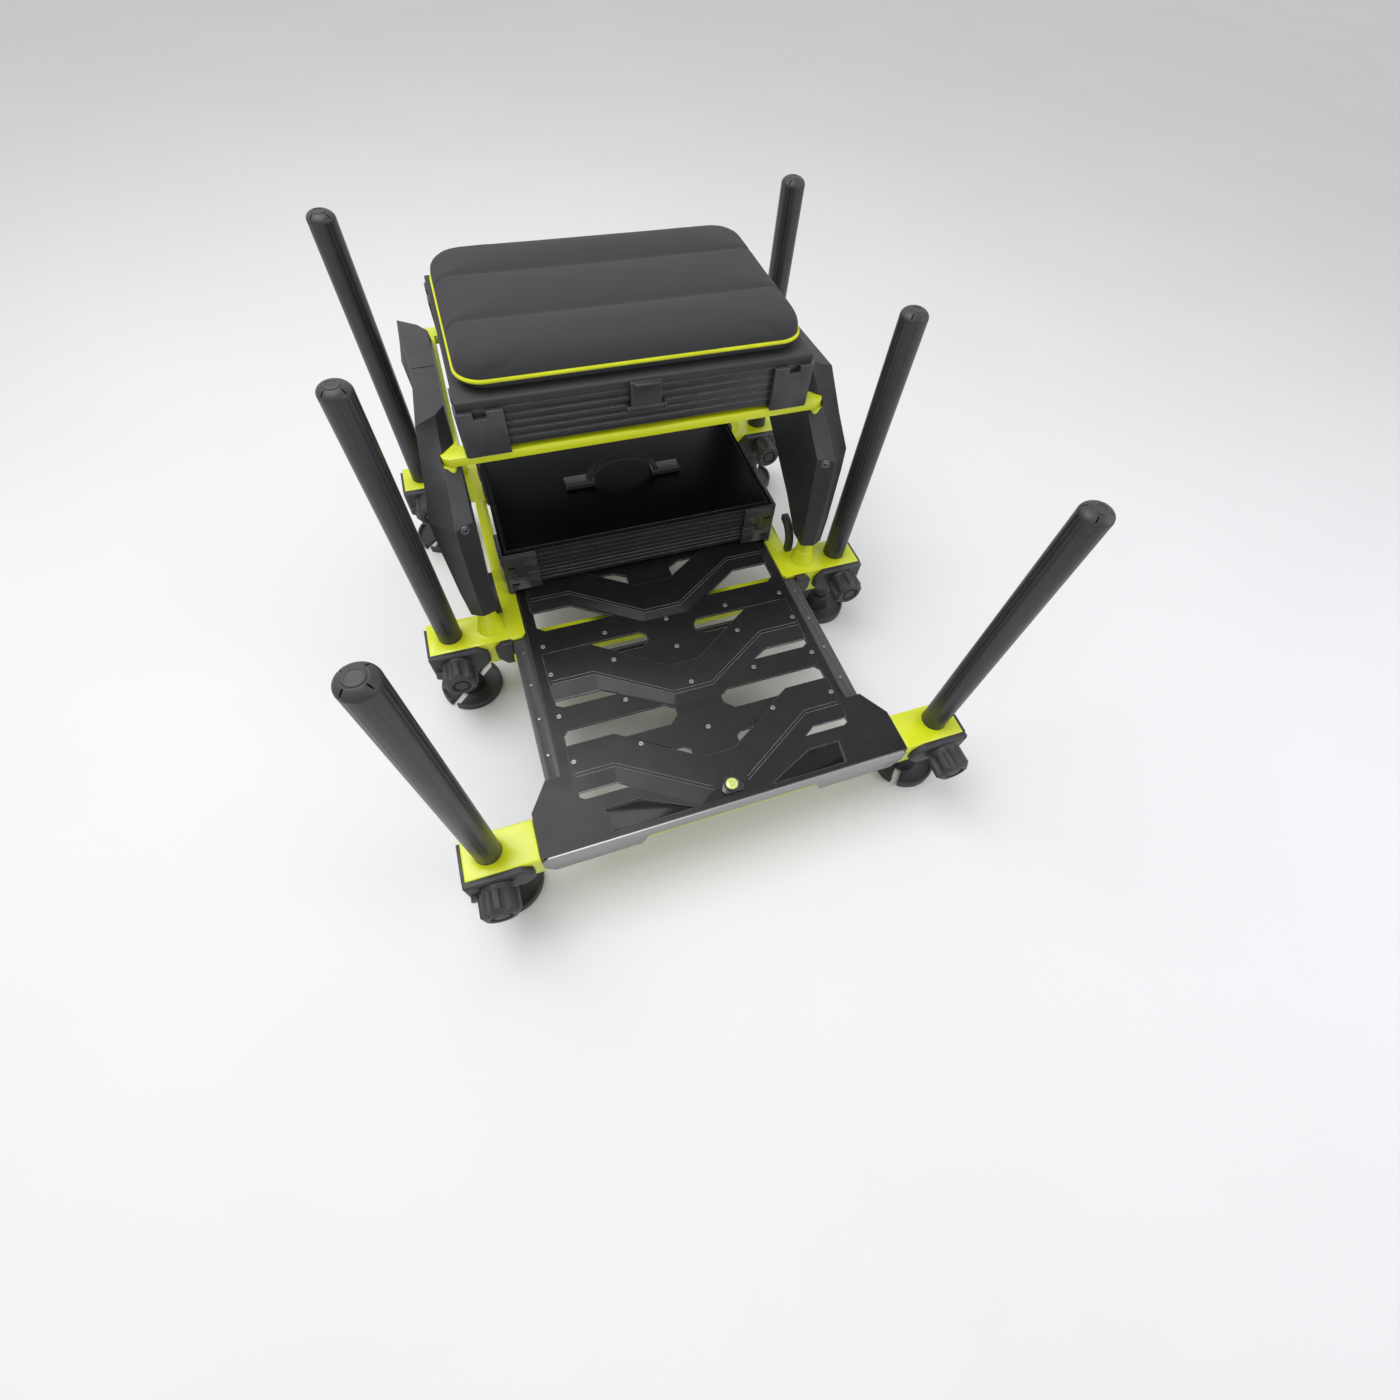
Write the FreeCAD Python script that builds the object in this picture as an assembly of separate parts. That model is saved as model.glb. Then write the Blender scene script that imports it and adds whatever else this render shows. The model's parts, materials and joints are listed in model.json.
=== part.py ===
import FreeCAD, Part
import math
import os

# Fishing seat box: a four-post frame with a padded seat tray on top, a shallow case
# stowed on the lower frame, a sliding footplate in front, and six telescopic legs.
# Millimetres. +X is the sitter's right seen from the front, -Y is the footplate side,
# +Z is up and the floor is Z = 0.

# Legs and feet
leg_d = 36.0
leg_wall = 2.0
leg_top_z = 548.0
leg_bottom_z = 49.0
leg_clearance = 0.05
flute_count = 20
flute_r = 0.6
flute_depth = 0.3
rest_line_w = 1.0
rest_line_depth = 0.3
cap_dome_h = 7.0
cap_plug_h = 18.0
cap_slit_w = 2.0
cap_ring_w = 1.5
cap_flange_h = 2.0
rim_inset = 0.2
ball_r = 11.0
ball_z = 27.0
neck_r = 5.5
foot_r = 50.0
foot_plate_h = 5.0
foot_rim_h = 13.0
foot_rim_w = 4.0
foot_slit_w = 12.0
foot_slit_turn = 45.0
foot_hub_r = 17.0
foot_hub_spread = 5.0
foot_hub_h = 37.0
ball_clearance = 0.3

# Leg blocks
block_top_z = 145.0
block_h = 50.0
block_wall = 4.0
sleeve_wall = 7.0
block_edge = 1.2
block_outer_reach = 33.5
front_block_reach = 62.0
front_block_depth = 58.0
box_front_y = 358.0
box_block_depth = 60.0
rear_front_y = 736.0
leg_set_back = 32.0
deck_side_gap = 2.0
rail_side_gap = 4.0
guide_w = 24.0
guide_to_cover = 11.0
guide_t = 10.0
guide_tip = 11.0
guide_clearance = 0.5
ledge_h = 6.0
ledge_run = 62.0
ledge_overlap = 10.0

# Clamp knobs and the black covers they turn on
knob_z = 120.0
stud_r = 5.0
stud_clearance = 0.05
clamp_cover_t = 10.0
clamp_cover_reach = 50.0
clamp_cover_lip = 4.0
clamp_cover_tip = 14.0
clamp_cover_drop = 2.0
clamp_cover_edge = 3.0
clamp_cover_cut = 8.0
clamp_cover_nick = 2.0
cover_boss_r = 7.0
cover_boss_h = 6.0
collar_r = 20.0
collar_h = 7.0
knob_r = 26.0
knob_h = 32.0
knob_lobes = 8
knob_scallop_r = 8.0
knob_gap = 0.3

# Footplate
deck_t = 4.0
band_h = 4.0
deck_half = 219.0
deck_rear_y = 484.0
deck_skirt_h = 19.0
deck_skirt_w = 4.0
deck_rib_drop = 11.0
wing_gap = 0.5
wing_flat_y = 59.0
wing_taper_y = 65.0
wing_end_y = 107.0
rail_w = 24.0
rail_h = 20.5
rail_wall = 2.5
rail_drop = 7.0
rail_groove = 8.0
seat_gap = 0.2
beam_depth = 52.0
beam_drop = 4.2
beam_setback = 3.0
beam_wall = 3.0
fascia_t = 3.0
fascia_h = 50.0
fascia_mid_h = 26.0
fascia_mid_half = 126.0
fascia_step = 10.0
fascia_corner = 12.0
fascia_chamfer = 20.0
fascia_nick = 8.0
screw_head_r = 4.0
screw_head_h = 2.0
screw_slot_w = 1.0
level_r = 11.0
level_wall = 2.5
level_h = 8.0
level_y = 22.5
pocket_depth = 3.0

# Raised bands of the deck, right half: the back line, the ridge and the toe of each, as the
# y of its straight outer run, the x of its knee, and the x and y of its tip
deck_band_margin = 14.0
deck_bands = [
    ((474.0, 131.0, 30.0, 408.0), (418.0, 138.0, 30.0, 346.5), (398.5, 138.0, 37.0, 333.5)),
    ((312.0, 131.0, 24.0, 238.0), (253.5, 137.0, 30.0, 185.0), (227.5, 136.0, 36.0, 170.5)),
    ((147.5, 134.0, 24.0, 76.0), (96.5, 146.0, 26.0, 22.0), (75.0, 150.0, 49.0, 8.0))]

# Drain slots through the right half of the deck, and the shallow pocket near its front edge
deck_slots = [
    [(38.0, 414.5), (85.0, 445.0), (58.0, 445.0), (38.0, 434.0)],
    [(82.0, 358.0), (191.0, 358.0), (202.0, 367.0), (202.0, 398.0), (142.0, 398.0)],
    [(51.0, 285.5), (92.0, 285.5), (132.0, 312.2), (195.0, 312.2), (195.0, 314.5), (48.0, 314.5),
     (40.0, 306.0), (40.0, 295.0)],
    [(109.0, 213.5), (194.0, 213.5), (203.0, 219.0), (203.0, 227.2), (134.0, 227.2)],
    [(51.0, 140.5), (120.0, 140.5), (134.0, 147.8), (203.0, 147.8), (203.0, 166.0), (196.0, 174.0),
     (50.0, 174.0), (37.0, 165.0), (37.0, 153.0)],
    [(36.0, 84.5), (62.0, 100.0), (44.0, 100.0), (36.0, 94.0)],
    [(133.0, 64.0), (196.0, 64.0), (203.0, 68.0), (203.0, 74.8), (150.0, 74.8)]]
deck_pocket = [(58.0, 8.0), (172.0, 8.0), (176.0, 42.0), (127.0, 42.0)]

# Screws of the deck, right half and middle, on its base and on the raised bands
base_screws = [(0.0, 328.0), (102.0, 328.0), (200.0, 328.0), (0.0, 271.0), (103.0, 199.0), (203.0, 199.0),
               (0.0, 120.0)]
band_screws = [(102.0, 271.0), (199.0, 271.0), (0.0, 199.0), (102.0, 120.0), (199.0, 120.0)]

# Lower frame
tube_depth = 48.0
tube_h = 22.0
tube_wall = 2.0
tube_setback = 19.0
side_rail_w = 18.0
side_rail_low = 6.0
side_rail_high = 14.0
side_gap = 1.5
clip_r = 40.0
clip_w = 12.0
clip_t = 11.0
clip_set_back = 34.0
clip_rise = 13.0

# Posts and upper frame
post_inset = 23.0
post_lean = 3.0
post_knee_z = 290.0
post_sweep_x = 12.0
post_sweep_y = 51.0
post_r = 14.5
post_knee_r = 12.7
post_top_r = 10.0
post_flare_r = 21.0
post_flare_h = 26.0
post_overrun = 0.01
post_y_in = 33.0
ring_overhang = 6.0
ring_bar = 24.0
ring_h = 12.0
ring_z = 410.0
ring_radius = 12.0

# Side covers. Each section of the right front one is a height above the block, then its
# corners as (x from the post's foot, y from the post): inner, ridge and outer, then the x of
# its outer back. The lowest two state the y of their back from the post. The others run back
# to the seam with the rear cover, and stop short of it by the gap stated.
cover_wall = 3.0
cover_gap = 0.6
cover_seam_gap = 1.0
cover_arch_gap = 8.0
cover_low_sections = [
    (48.0, (-18.0, -13.0), (2.0, -19.0), (19.0, -11.0), 17.0, 18.0),
    (93.0, (-20.5, -13.0), (2.0, -21.0), (23.0, -7.0), 14.0, 61.0)]
cover_high_sections = [
    (180.0, (-24.0, -8.0), (0.0, -19.0), (27.0, 2.0), 6.0, cover_arch_gap),
    (215.0, (-25.0, -5.0), (-2.0, -17.0), (28.0, 7.0), 4.0, cover_seam_gap),
    (255.0, (-28.0, 42.0), (-8.0, 24.0), (19.0, 36.0), 2.0, cover_seam_gap),
    (307.0, (-28.0, 104.0), (-16.0, 87.0), (9.0, 70.0), 2.0, cover_seam_gap)]

# Shallow case that rides on the lower frame
case_rear_gap = 18.0
case_set_back = 88.0
case_h = 80.0
case_foot = 10.0
case_split = 42.0
case_panel_in = 6.0
case_panel_line = 3.0
case_panel_depth = 0.8
box_wall = 2.5
corner_len = 56.0
corner_t = 6.0
corner_round = 6.0
corner_lift = 7.0
notch_depth = 9.0
notch_half = 8.0
tab_clearance = 0.5
edge_groove = 1.2
groove_half = 1.0
split_gap = 0.4
hinge_pin_r = 3.0
pin_clearance = 0.05
knuckle_r = 6.5
knuckle_len = 60.0
knuckle_gap = 0.5
hinge_leaf_t = 2.0
hinge_part = 1.5
case_hinge_x = 65.0

# Strap handle on the case
handle_half = 66.0
handle_rise = 43.0
handle_w = 18.0
handle_t = 4.0
handle_foot_t = 3.0
handle_foot_len = 24.0
mount_in = 50.0
mount_out = 99.0
mount_w = 22.0
mount_h = 10.0
mount_edge = 2.0
mount_clearance = 0.3

# Seat unit
tray_set_in = 30.0
tray_overhang = 4.0
tray_h = 58.0
tray_foot = 6.0
seat_board_t = 11.0
seat_board_in = 3.0
seat_board_round = 3.0
seat_hinge_x = 104.0
seat_leaf_low = 12.0
seat_leaf_high = 1.0
cushion_in = 9.0
cushion_inset = 8.0
cushion_h = 46.0
cushion_round = 34.0
cushion_levels = ((0.0, 5.0), (0.3, 0.0), (0.62, 1.0), (0.85, 7.0), (1.0, 22.0))
catch_w = 40.0
catch_t = 5.0
catch_drop = 24.0
catch_pin_r = 2.0
catch_barrel_r = 4.0
catch_wall_gap = 1.0
catch_lug = 5.0
catch_pull = 5.0

# Values worked out from the ones above
leg_r = leg_d / 2.0
rail_out = deck_half + rail_w
rail_guide_x = rail_out + rail_side_gap
clamp_cover_in = rail_guide_x + guide_w + guide_to_cover
leg_x = clamp_cover_in + clamp_cover_reach
block_low_z = block_top_z - block_h
block_out = leg_x + block_outer_reach
front_block_in = leg_x - front_block_reach
wing_half = front_block_in - wing_gap
front_leg_y = leg_set_back
box_leg_y = box_front_y + leg_set_back
rear_leg_y = rear_front_y + leg_set_back
rear_end_y = rear_front_y + box_block_depth
knob_reach = clamp_cover_t + collar_h + knob_gap + knob_h
part_centre_y = (rear_leg_y + foot_r - knob_reach) / 2.0
rail_top_z = block_top_z - rail_drop
box_block_in = deck_half + deck_side_gap
tube_top_z = block_low_z + tube_h
front_tube_y = box_front_y - tube_setback
post_base_x = rail_guide_x + post_inset
post_knee_x = post_base_x - post_lean
post_top_x = post_knee_x - post_sweep_x
front_post_y = box_front_y + post_y_in
rear_post_y = rear_front_y + post_y_in
frame_centre_y = (front_post_y + rear_post_y) / 2.0
ring_half = post_top_x + ring_overhang
ring_front_y = front_post_y + post_sweep_y - ring_bar / 2.0
ring_back_y = rear_post_y - post_sweep_y + ring_bar / 2.0
ring_top_z = ring_z + ring_h
case_half = box_block_in + ledge_overlap
case_front_y = box_front_y + case_set_back
case_back_y = rear_front_y - case_rear_gap
case_centre_y = (case_front_y + case_back_y) / 2.0
case_top_z = block_top_z + case_h
tray_half = ring_half - tray_set_in
tray_front_y = ring_front_y - tray_overhang
tray_back_y = ring_back_y + tray_overhang
tray_top_z = ring_top_z + tray_h
seat_board_z = tray_top_z + split_gap
seat_board_half = tray_half - seat_board_in
seat_board_top = seat_board_z + seat_board_t
cushion_half = tray_half - cushion_in


def vec(x, y, z):
    return FreeCAD.Vector(x, y, z)


def box(x0, x1, y0, y1, z0, z1):
    return Part.makeBox(x1 - x0, y1 - y0, z1 - z0, vec(x0, y0, z0))


def rod(centre, direction, radius, length):
    return Part.makeCylinder(radius, length, vec(*centre), vec(*direction))


def face_xy(points, z):
    corners = [vec(x, y, z) for x, y in points]
    return Part.Face(Part.makePolygon(corners + corners[:1]))


def plate(points, z0, z1):
    return face_xy(points, z0).extrude(vec(0, 0, z1 - z0))


def prism_x(points, x0, x1):
    corners = [vec(x0, y, z) for y, z in points]
    return Part.Face(Part.makePolygon(corners + corners[:1])).extrude(vec(x1 - x0, 0, 0))


def prism_y(points, y0, y1):
    corners = [vec(x, y0, z) for x, z in points]
    return Part.Face(Part.makePolygon(corners + corners[:1])).extrude(vec(0, y1 - y0, 0))


def mirrored(shape):
    return shape.mirror(vec(0, 0, 0), vec(1, 0, 0))


def mirrored_y(shape, y):
    return shape.mirror(vec(0, y, 0), vec(0, 1, 0))


def moved(shape, x, y, z):
    copy = shape.copy()
    copy.translate(vec(x, y, z))
    return copy


def both_sides(points):
    return points + [(-x, y) for x, y in reversed(points)]


def inset(points, wall):
    """Move every edge of a convex, counterclockwise outline inwards by wall."""
    count = len(points)
    lines = []
    for i in range(count):
        (x0, y0), (x1, y1) = points[i], points[(i + 1) % count]
        length = math.hypot(x1 - x0, y1 - y0)
        nx, ny = -(y1 - y0) / length, (x1 - x0) / length
        lines.append((nx, ny, nx * (x0 + nx * wall) + ny * (y0 + ny * wall)))
    result = []
    for i in range(count):
        a0, b0, c0 = lines[i - 1]
        a1, b1, c1 = lines[i]
        det = a0 * b1 - a1 * b0
        result.append(((c0 * b1 - c1 * b0) / det, (a0 * c1 - a1 * c0) / det))
    return result


def ruled(sections):
    """A solid through flat outlines, given as (points, z) from bottom to top."""
    wires = []
    for points, z in sections:
        corners = [vec(x, y, z) for x, y in points]
        wires.append(Part.makePolygon(corners + corners[:1]))
    return Part.makeLoft(wires, True, True)


def export(name, *solids):
    """Write one sub-part, with the part's origin under the middle of its box."""
    shape = Part.makeCompound(list(solids)) if len(solids) > 1 else solids[0]
    shape = moved(shape, 0, -part_centre_y, 0)
    for solid in shape.Solids:
        if not solid.isValid():
            print("not valid:", name)
    shape.exportStep("parts/" + name + ".step")


# Legs

def leg_tube():
    """Fluted tube, scored with a ring that stands at the block's top at the rest height."""
    height = leg_top_z - leg_bottom_z
    base = (0, 0, leg_bottom_z)
    tube = rod(base, (0, 0, 1), leg_r, height)
    cuts = [rod(base, (0, 0, 1), leg_r - leg_wall, height)]
    for i in range(flute_count):
        turn = 2 * math.pi * (i + 0.5) / flute_count
        out = leg_r + flute_r - flute_depth
        at = (out * math.cos(turn), out * math.sin(turn), leg_bottom_z)
        cuts.append(rod(at, (0, 0, 1), flute_r, height))
    line_at = (0, 0, block_top_z)
    line = rod(line_at, (0, 0, 1), leg_r + 1, rest_line_w)
    cuts.append(line.cut(rod(line_at, (0, 0, 1), leg_r - rest_line_depth, rest_line_w)))
    return tube.cut(Part.makeCompound(cuts))


def leg_cap():
    plug = rod((0, 0, leg_top_z - cap_plug_h), (0, 0, 1), leg_r - leg_wall, cap_plug_h)
    rim_r = leg_r - rim_inset
    skirt = rod((0, 0, leg_top_z), (0, 0, 1), rim_r, cap_dome_h)
    skirt = skirt.makeFillet(cap_dome_h * 0.8, [e for e in skirt.Edges if e.BoundBox.ZMin > leg_top_z + 1
                                               and e.Length > rim_r * 6])
    cap = plug.fuse(skirt)
    slit_in = leg_r * 0.62
    slit_half = cap_slit_w / 2.0
    for i in range(4):
        slit = box(slit_in, leg_r + 1, -slit_half, slit_half,
                   leg_top_z + cap_dome_h * 0.3, leg_top_z + cap_dome_h + 1)
        slit.rotate(vec(0, 0, 0), vec(0, 0, 1), 45 + 90 * i)
        cap = cap.cut(slit)
    ring = rod((0, 0, leg_top_z + cap_dome_h - 1), (0, 0, 1), slit_in, 2)
    ring = ring.cut(rod((0, 0, leg_top_z + cap_dome_h - 1), (0, 0, 1), slit_in - cap_ring_w, 2))
    return cap.cut(ring)


def leg_ball():
    ball = Part.makeSphere(ball_r, vec(0, 0, ball_z))
    neck = rod((0, 0, ball_z), (0, 0, 1), neck_r, leg_bottom_z - ball_z)
    plug = rod((0, 0, leg_bottom_z), (0, 0, 1), leg_r - leg_wall, cap_plug_h)
    flange = rod((0, 0, leg_bottom_z - cap_flange_h), (0, 0, 1), leg_r - rim_inset, cap_flange_h)
    return ball.fuse([neck, plug, flange]).removeSplitter()


def mud_foot():
    """Round foot in two wings, dished inside a rim, with the socket for the leg's ball."""
    disc = rod((0, 0, 0), (0, 0, 1), foot_r, foot_rim_h)
    disc = disc.cut(rod((0, 0, foot_plate_h), (0, 0, 1), foot_r - foot_rim_w, foot_rim_h))
    for side in (-1, 1):
        mouth = box(foot_hub_r, foot_r + 1, -foot_slit_w / 2, foot_slit_w / 2, -1, foot_rim_h + 1)
        mouth.rotate(vec(0, 0, 0), vec(0, 0, 1), 90 + 90 * side + foot_slit_turn)
        disc = disc.cut(mouth)
    hub = Part.makeCone(foot_hub_r + foot_hub_spread, foot_hub_r, foot_hub_h - foot_plate_h,
                        vec(0, 0, foot_plate_h))
    foot = disc.fuse(hub)
    mouth_z = ball_z + ball_r * 0.55
    socket_r = ball_r + ball_clearance
    mouth_r = math.sqrt(socket_r ** 2 - (mouth_z - ball_z) ** 2)
    rise = foot_hub_h - mouth_z + 1
    foot = foot.cut(Part.makeSphere(socket_r, vec(0, 0, ball_z)))
    foot = foot.cut(Part.makeCone(mouth_r, mouth_r + rise * 0.6, rise, vec(0, 0, mouth_z)))
    return foot.removeSplitter()


def clamp_knob():
    """Lobed knob and its stud, pointing along -Y from the block's front face at Y = 0."""
    face = -clamp_cover_t - collar_h - knob_gap
    body = rod((0, face, knob_z), (0, -1, 0), knob_r, knob_h)
    rim = [e for e in body.Edges if e.BoundBox.YMax < face - 1 and e.Length > knob_r * 6]
    body = body.makeChamfer(knob_h * 0.2, rim)
    reach = knob_r + knob_scallop_r * 0.45
    for i in range(knob_lobes):
        turn = 2 * math.pi * (i + 0.5) / knob_lobes
        at = (reach * math.cos(turn), face + 1, knob_z + reach * math.sin(turn))
        body = body.cut(rod(at, (0, -1, 0), knob_scallop_r, knob_h + 2))
    dish = rod((0, face - knob_h, knob_z), (0, 1, 0), knob_r * 0.55, knob_h * 0.12)
    body = body.cut(dish)
    stud_end = leg_set_back - leg_r - knob_gap
    stud = rod((0, face, knob_z), (0, 1, 0), stud_r, stud_end - face)
    return body, stud


def legs():
    tube, cap, ball, foot, knob = leg_tube(), leg_cap(), leg_ball(), mud_foot(), clamp_knob()
    rows = (("front", 0.0), ("box", box_front_y), ("rear", rear_front_y))
    sides = (("_left", -leg_x), ("_right", leg_x))
    places = [(row + side, x, face_y) for row, face_y in rows for side, x in sides]
    for name, x, face_y in places:
        y = face_y + leg_set_back
        export(name + "_leg", moved(tube, x, y, 0))
        export(name + "_leg_ends", moved(cap, x, y, 0), moved(ball, x, y, 0))
        export(name + "_foot", moved(foot, x, y, 0))
        export(name + "_knob", *[moved(piece, x, face_y, 0) for piece in knob])


# Leg blocks

def leg_bore(x, y):
    return rod((x, y, block_low_z - 1), (0, 0, 1), leg_r + leg_clearance, block_h + 2)


def stud_bore(x, face_y):
    return rod((x, face_y - 1, knob_z), (0, 1, 0), stud_r + stud_clearance, leg_set_back)


def hollow(x0, x1, y0, y1, leg_y):
    """The room inside a cast block, open below, around the leg's sleeve."""
    room = box(x0, x1, y0, y1, block_low_z - 1, block_top_z - block_wall)
    sleeve = rod((leg_x, leg_y, block_low_z - 1), (0, 0, 1), leg_r + sleeve_wall, block_h + 2)
    boss = rod((leg_x, y0 - 1, knob_z), (0, 1, 0), stud_r + block_wall, leg_y - y0)
    return room.cut(sleeve).cut(boss)


def front_block():
    outer = box(front_block_in, block_out, 0, front_block_depth, block_low_z, block_top_z)
    outer = outer.makeChamfer(block_edge, [e for e in outer.Edges if e.BoundBox.ZMin > block_top_z - 0.1])
    room = hollow(front_block_in + block_wall, block_out - block_wall, block_wall,
                  front_block_depth - block_wall, front_leg_y)
    return outer.cut(room).cut(leg_bore(leg_x, front_leg_y)).cut(stud_bore(leg_x, 0))


def clamp_cover():
    """Black cap over the front and outer end of a block, right side, block face at Y = 0."""
    low, high = block_low_z + clamp_cover_drop, block_top_z - clamp_cover_drop / 4
    out = block_out + clamp_cover_lip
    tip, cut, nick = clamp_cover_tip, clamp_cover_cut, clamp_cover_nick
    outline = [(out, low + cut), (out - cut, low), (clamp_cover_in + tip, low), (clamp_cover_in, low + tip),
               (clamp_cover_in, high - tip), (clamp_cover_in + tip, high), (out - nick, high),
               (out, high - nick)]
    plate_y = prism_y(outline, -clamp_cover_t, 0)
    edge = [e for e in plate_y.Edges if e.BoundBox.YMax < -clamp_cover_t + 0.1]
    plate_y = plate_y.makeChamfer(clamp_cover_edge, edge)
    end = box(block_out, out, 0, leg_set_back + leg_r + 2, low, high)
    collar = rod((leg_x, -clamp_cover_t, knob_z), (0, -1, 0), collar_r, collar_h)
    boss_at = (leg_x + collar_r + cover_boss_r + 2, -clamp_cover_t, low + cover_boss_r + 5)
    boss = rod(boss_at, (0, -1, 0), cover_boss_r, cover_boss_h)
    cover = plate_y.fuse([end, collar, boss]).removeSplitter()
    return cover.cut(rod((leg_x, 1, knob_z), (0, -1, 0), stud_r + stud_clearance, knob_reach))


def post(spare=0.0):
    """Round front post, flared at its weld, straight to its knee and then swept back to the ring."""
    foot = vec(post_base_x, front_post_y, block_top_z)
    knee = vec(post_knee_x, front_post_y, post_knee_z)
    top = vec(post_top_x, front_post_y + post_sweep_y, ring_z)
    rise, sweep = knee - foot, top - knee
    pieces = [Part.makeCone(post_r + spare, post_knee_r + spare, rise.Length, foot, rise),
              Part.makeSphere(post_knee_r + spare, knee),
              Part.makeCone(post_knee_r + spare, post_top_r + spare, sweep.Length * (1 + post_overrun),
                            knee, sweep)]
    if not spare:
        pieces.append(Part.makeCone(post_flare_r, post_r, post_flare_h, foot, rise))
    room = box(0, block_out, box_front_y, frame_centre_y, block_top_z, ring_z)
    return pieces[0].fuse(pieces[1:]).common(room).removeSplitter()


def corner_block(y0, y1, leg_y):
    block = box(rail_guide_x, block_out, y0, y1, block_low_z, block_top_z)
    room = hollow(rail_guide_x + block_wall, block_out - block_wall, y0 + block_wall, y1 - block_wall, leg_y)
    return block.cut(room).cut(leg_bore(leg_x, leg_y)).cut(stud_bore(leg_x, y0))


def front_corner():
    """Right front corner of the box, welded from four pieces: leg block, ledge for the case,
    bracket behind the block, and post."""
    y0, y1 = box_front_y, box_front_y + box_block_depth
    block = corner_block(y0, y1, box_leg_y)
    ledge = plate([(box_block_in, y0 + 6), (box_block_in + 6, y0), (rail_guide_x, y0),
                   (rail_guide_x, y1 + ledge_run), (box_block_in, y1 + ledge_run)],
                  block_top_z - ledge_h, block_top_z)
    bracket = box(rail_guide_x, rail_guide_x + block_wall, y1, y1 + ledge_run, tube_top_z, block_top_z)
    return [block, ledge, bracket, post()]


def rear_corner():
    """Right rear corner, welded from leg block, ledge for the case, bracket, and post."""
    y0, y1 = rear_front_y, rear_end_y
    block = corner_block(y0, y1, rear_leg_y)
    ledge = box(box_block_in, rail_guide_x, y0 - ledge_run, y1, block_top_z - ledge_h, block_top_z)
    bracket = box(rail_guide_x, rail_guide_x + block_wall, y0 - ledge_run, y0, tube_top_z, block_top_z)
    return [block, ledge, bracket, mirrored_y(post(), frame_centre_y)]


def cross_tube(y):
    """Flat tube between the corner blocks, under the sliding footplate."""
    out = rail_guide_x
    tube = box(-out, out, y, y + tube_depth, block_low_z, tube_top_z)
    return tube.cut(box(-out - 1, out + 1, y + tube_wall, y + tube_depth - tube_wall,
                        block_low_z + tube_wall, tube_top_z - tube_wall))


def side_rail():
    """Bar on the right that ties the corners and guides the case."""
    x0 = case_half + side_gap
    y0 = box_front_y + box_block_depth + ledge_run
    y1 = rear_front_y - ledge_run
    z0, z1 = block_top_z - side_rail_low, block_top_z + side_rail_high
    bar = box(x0, x0 + side_rail_w, y0, y1, z0, z1)
    above = z1 + 1
    for end, inward in ((y0, 1), (y1, -1)):
        slope = [(end - inward, block_top_z), (end + inward * side_rail_high, above), (end - inward, above)]
        bar = bar.cut(prism_x(slope, x0 - 1, x0 + side_rail_w + 1))
    return bar


def rail_guide():
    """Black guide on the block's front face, beside the footplate's rail."""
    low, high = block_low_z + 1, block_top_z
    inner = rail_out + guide_clearance
    foot = rail_guide_x + guide_clearance
    point = rail_guide_x + guide_w
    step_z = tube_top_z + guide_clearance
    outline = [(foot, low), (point - guide_tip, low), (point, low + guide_tip + 6), (point, high - guide_tip),
               (point - guide_tip, high), (inner, high), (inner, step_z), (foot, step_z)]
    guide = prism_y(outline, box_front_y - guide_t, box_front_y)
    rim = [e for e in guide.Edges if e.BoundBox.YMax < box_front_y - guide_t + 0.1
           and e.BoundBox.XMin > foot + 0.1]
    return guide.makeChamfer(2.0, rim)


def case_clip():
    """Curved black clip that stands on the right corner's bracket and hugs the case's side."""
    y = box_front_y + box_block_depth + clip_set_back
    z = block_top_z + clip_rise
    end = rail_guide_x + clip_w
    outer = rod((rail_guide_x, y, z), (1, 0, 0), clip_r, clip_w)
    outer = outer.fuse(box(rail_guide_x, end, y - clip_r, y, block_top_z, z))
    inner = rod((rail_guide_x - 1, y, z), (1, 0, 0), clip_r - clip_t, clip_w + 2)
    inner = inner.fuse(box(rail_guide_x - 1, end + 1, y - clip_r + clip_t, y + 1, block_top_z - 1, z))
    quarter = box(rail_guide_x, end, y - clip_r, y, block_top_z, z + clip_r)
    return outer.cut(inner).common(quarter).removeSplitter()


def upper_frame():
    outer = box(-ring_half, ring_half, ring_front_y, ring_back_y, ring_z, ring_top_z)
    corners = [e for e in outer.Edges if abs(e.BoundBox.ZLength - ring_h) < 0.01]
    outer = outer.makeFillet(ring_radius, corners)
    inner = box(-ring_half + ring_bar, ring_half - ring_bar, ring_front_y + ring_bar, ring_back_y - ring_bar,
                ring_z - 1, ring_top_z + 1)
    return outer.cut(inner)


def cover_outline(inner, ridge, outer, outer_back_x, back_y):
    x, y = post_base_x, front_post_y
    front = [(x + dx, y + dy) for dx, dy in (inner, ridge, outer)]
    return front + [(x + outer_back_x, back_y), (x + inner[0], back_y)]


def side_cover():
    """Faceted shell round the right front post. It widens backwards to the seam at mid-depth,
    sweeps back above its knee, and reaches past the ring to a closed top."""
    sections = [(cover_outline(*corners, front_post_y + back), block_top_z + rise)
                for rise, *corners, back in cover_low_sections]
    sections += [(cover_outline(*corners, frame_centre_y - gap), block_top_z + rise)
                 for rise, *corners, gap in cover_high_sections]
    inner = [(inset(points, cover_wall), z) for points, z in sections]
    top_points, top_z = inner[-1]
    room = ruled(inner[:-1] + [(top_points, top_z - cover_wall)])
    ring_room = box(0, ring_half + cover_gap, ring_front_y - cover_gap, frame_centre_y,
                    ring_z - cover_gap, ring_top_z + cover_gap)
    return ruled(sections).cut(room).cut(post(cover_gap)).cut(ring_room)


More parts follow.
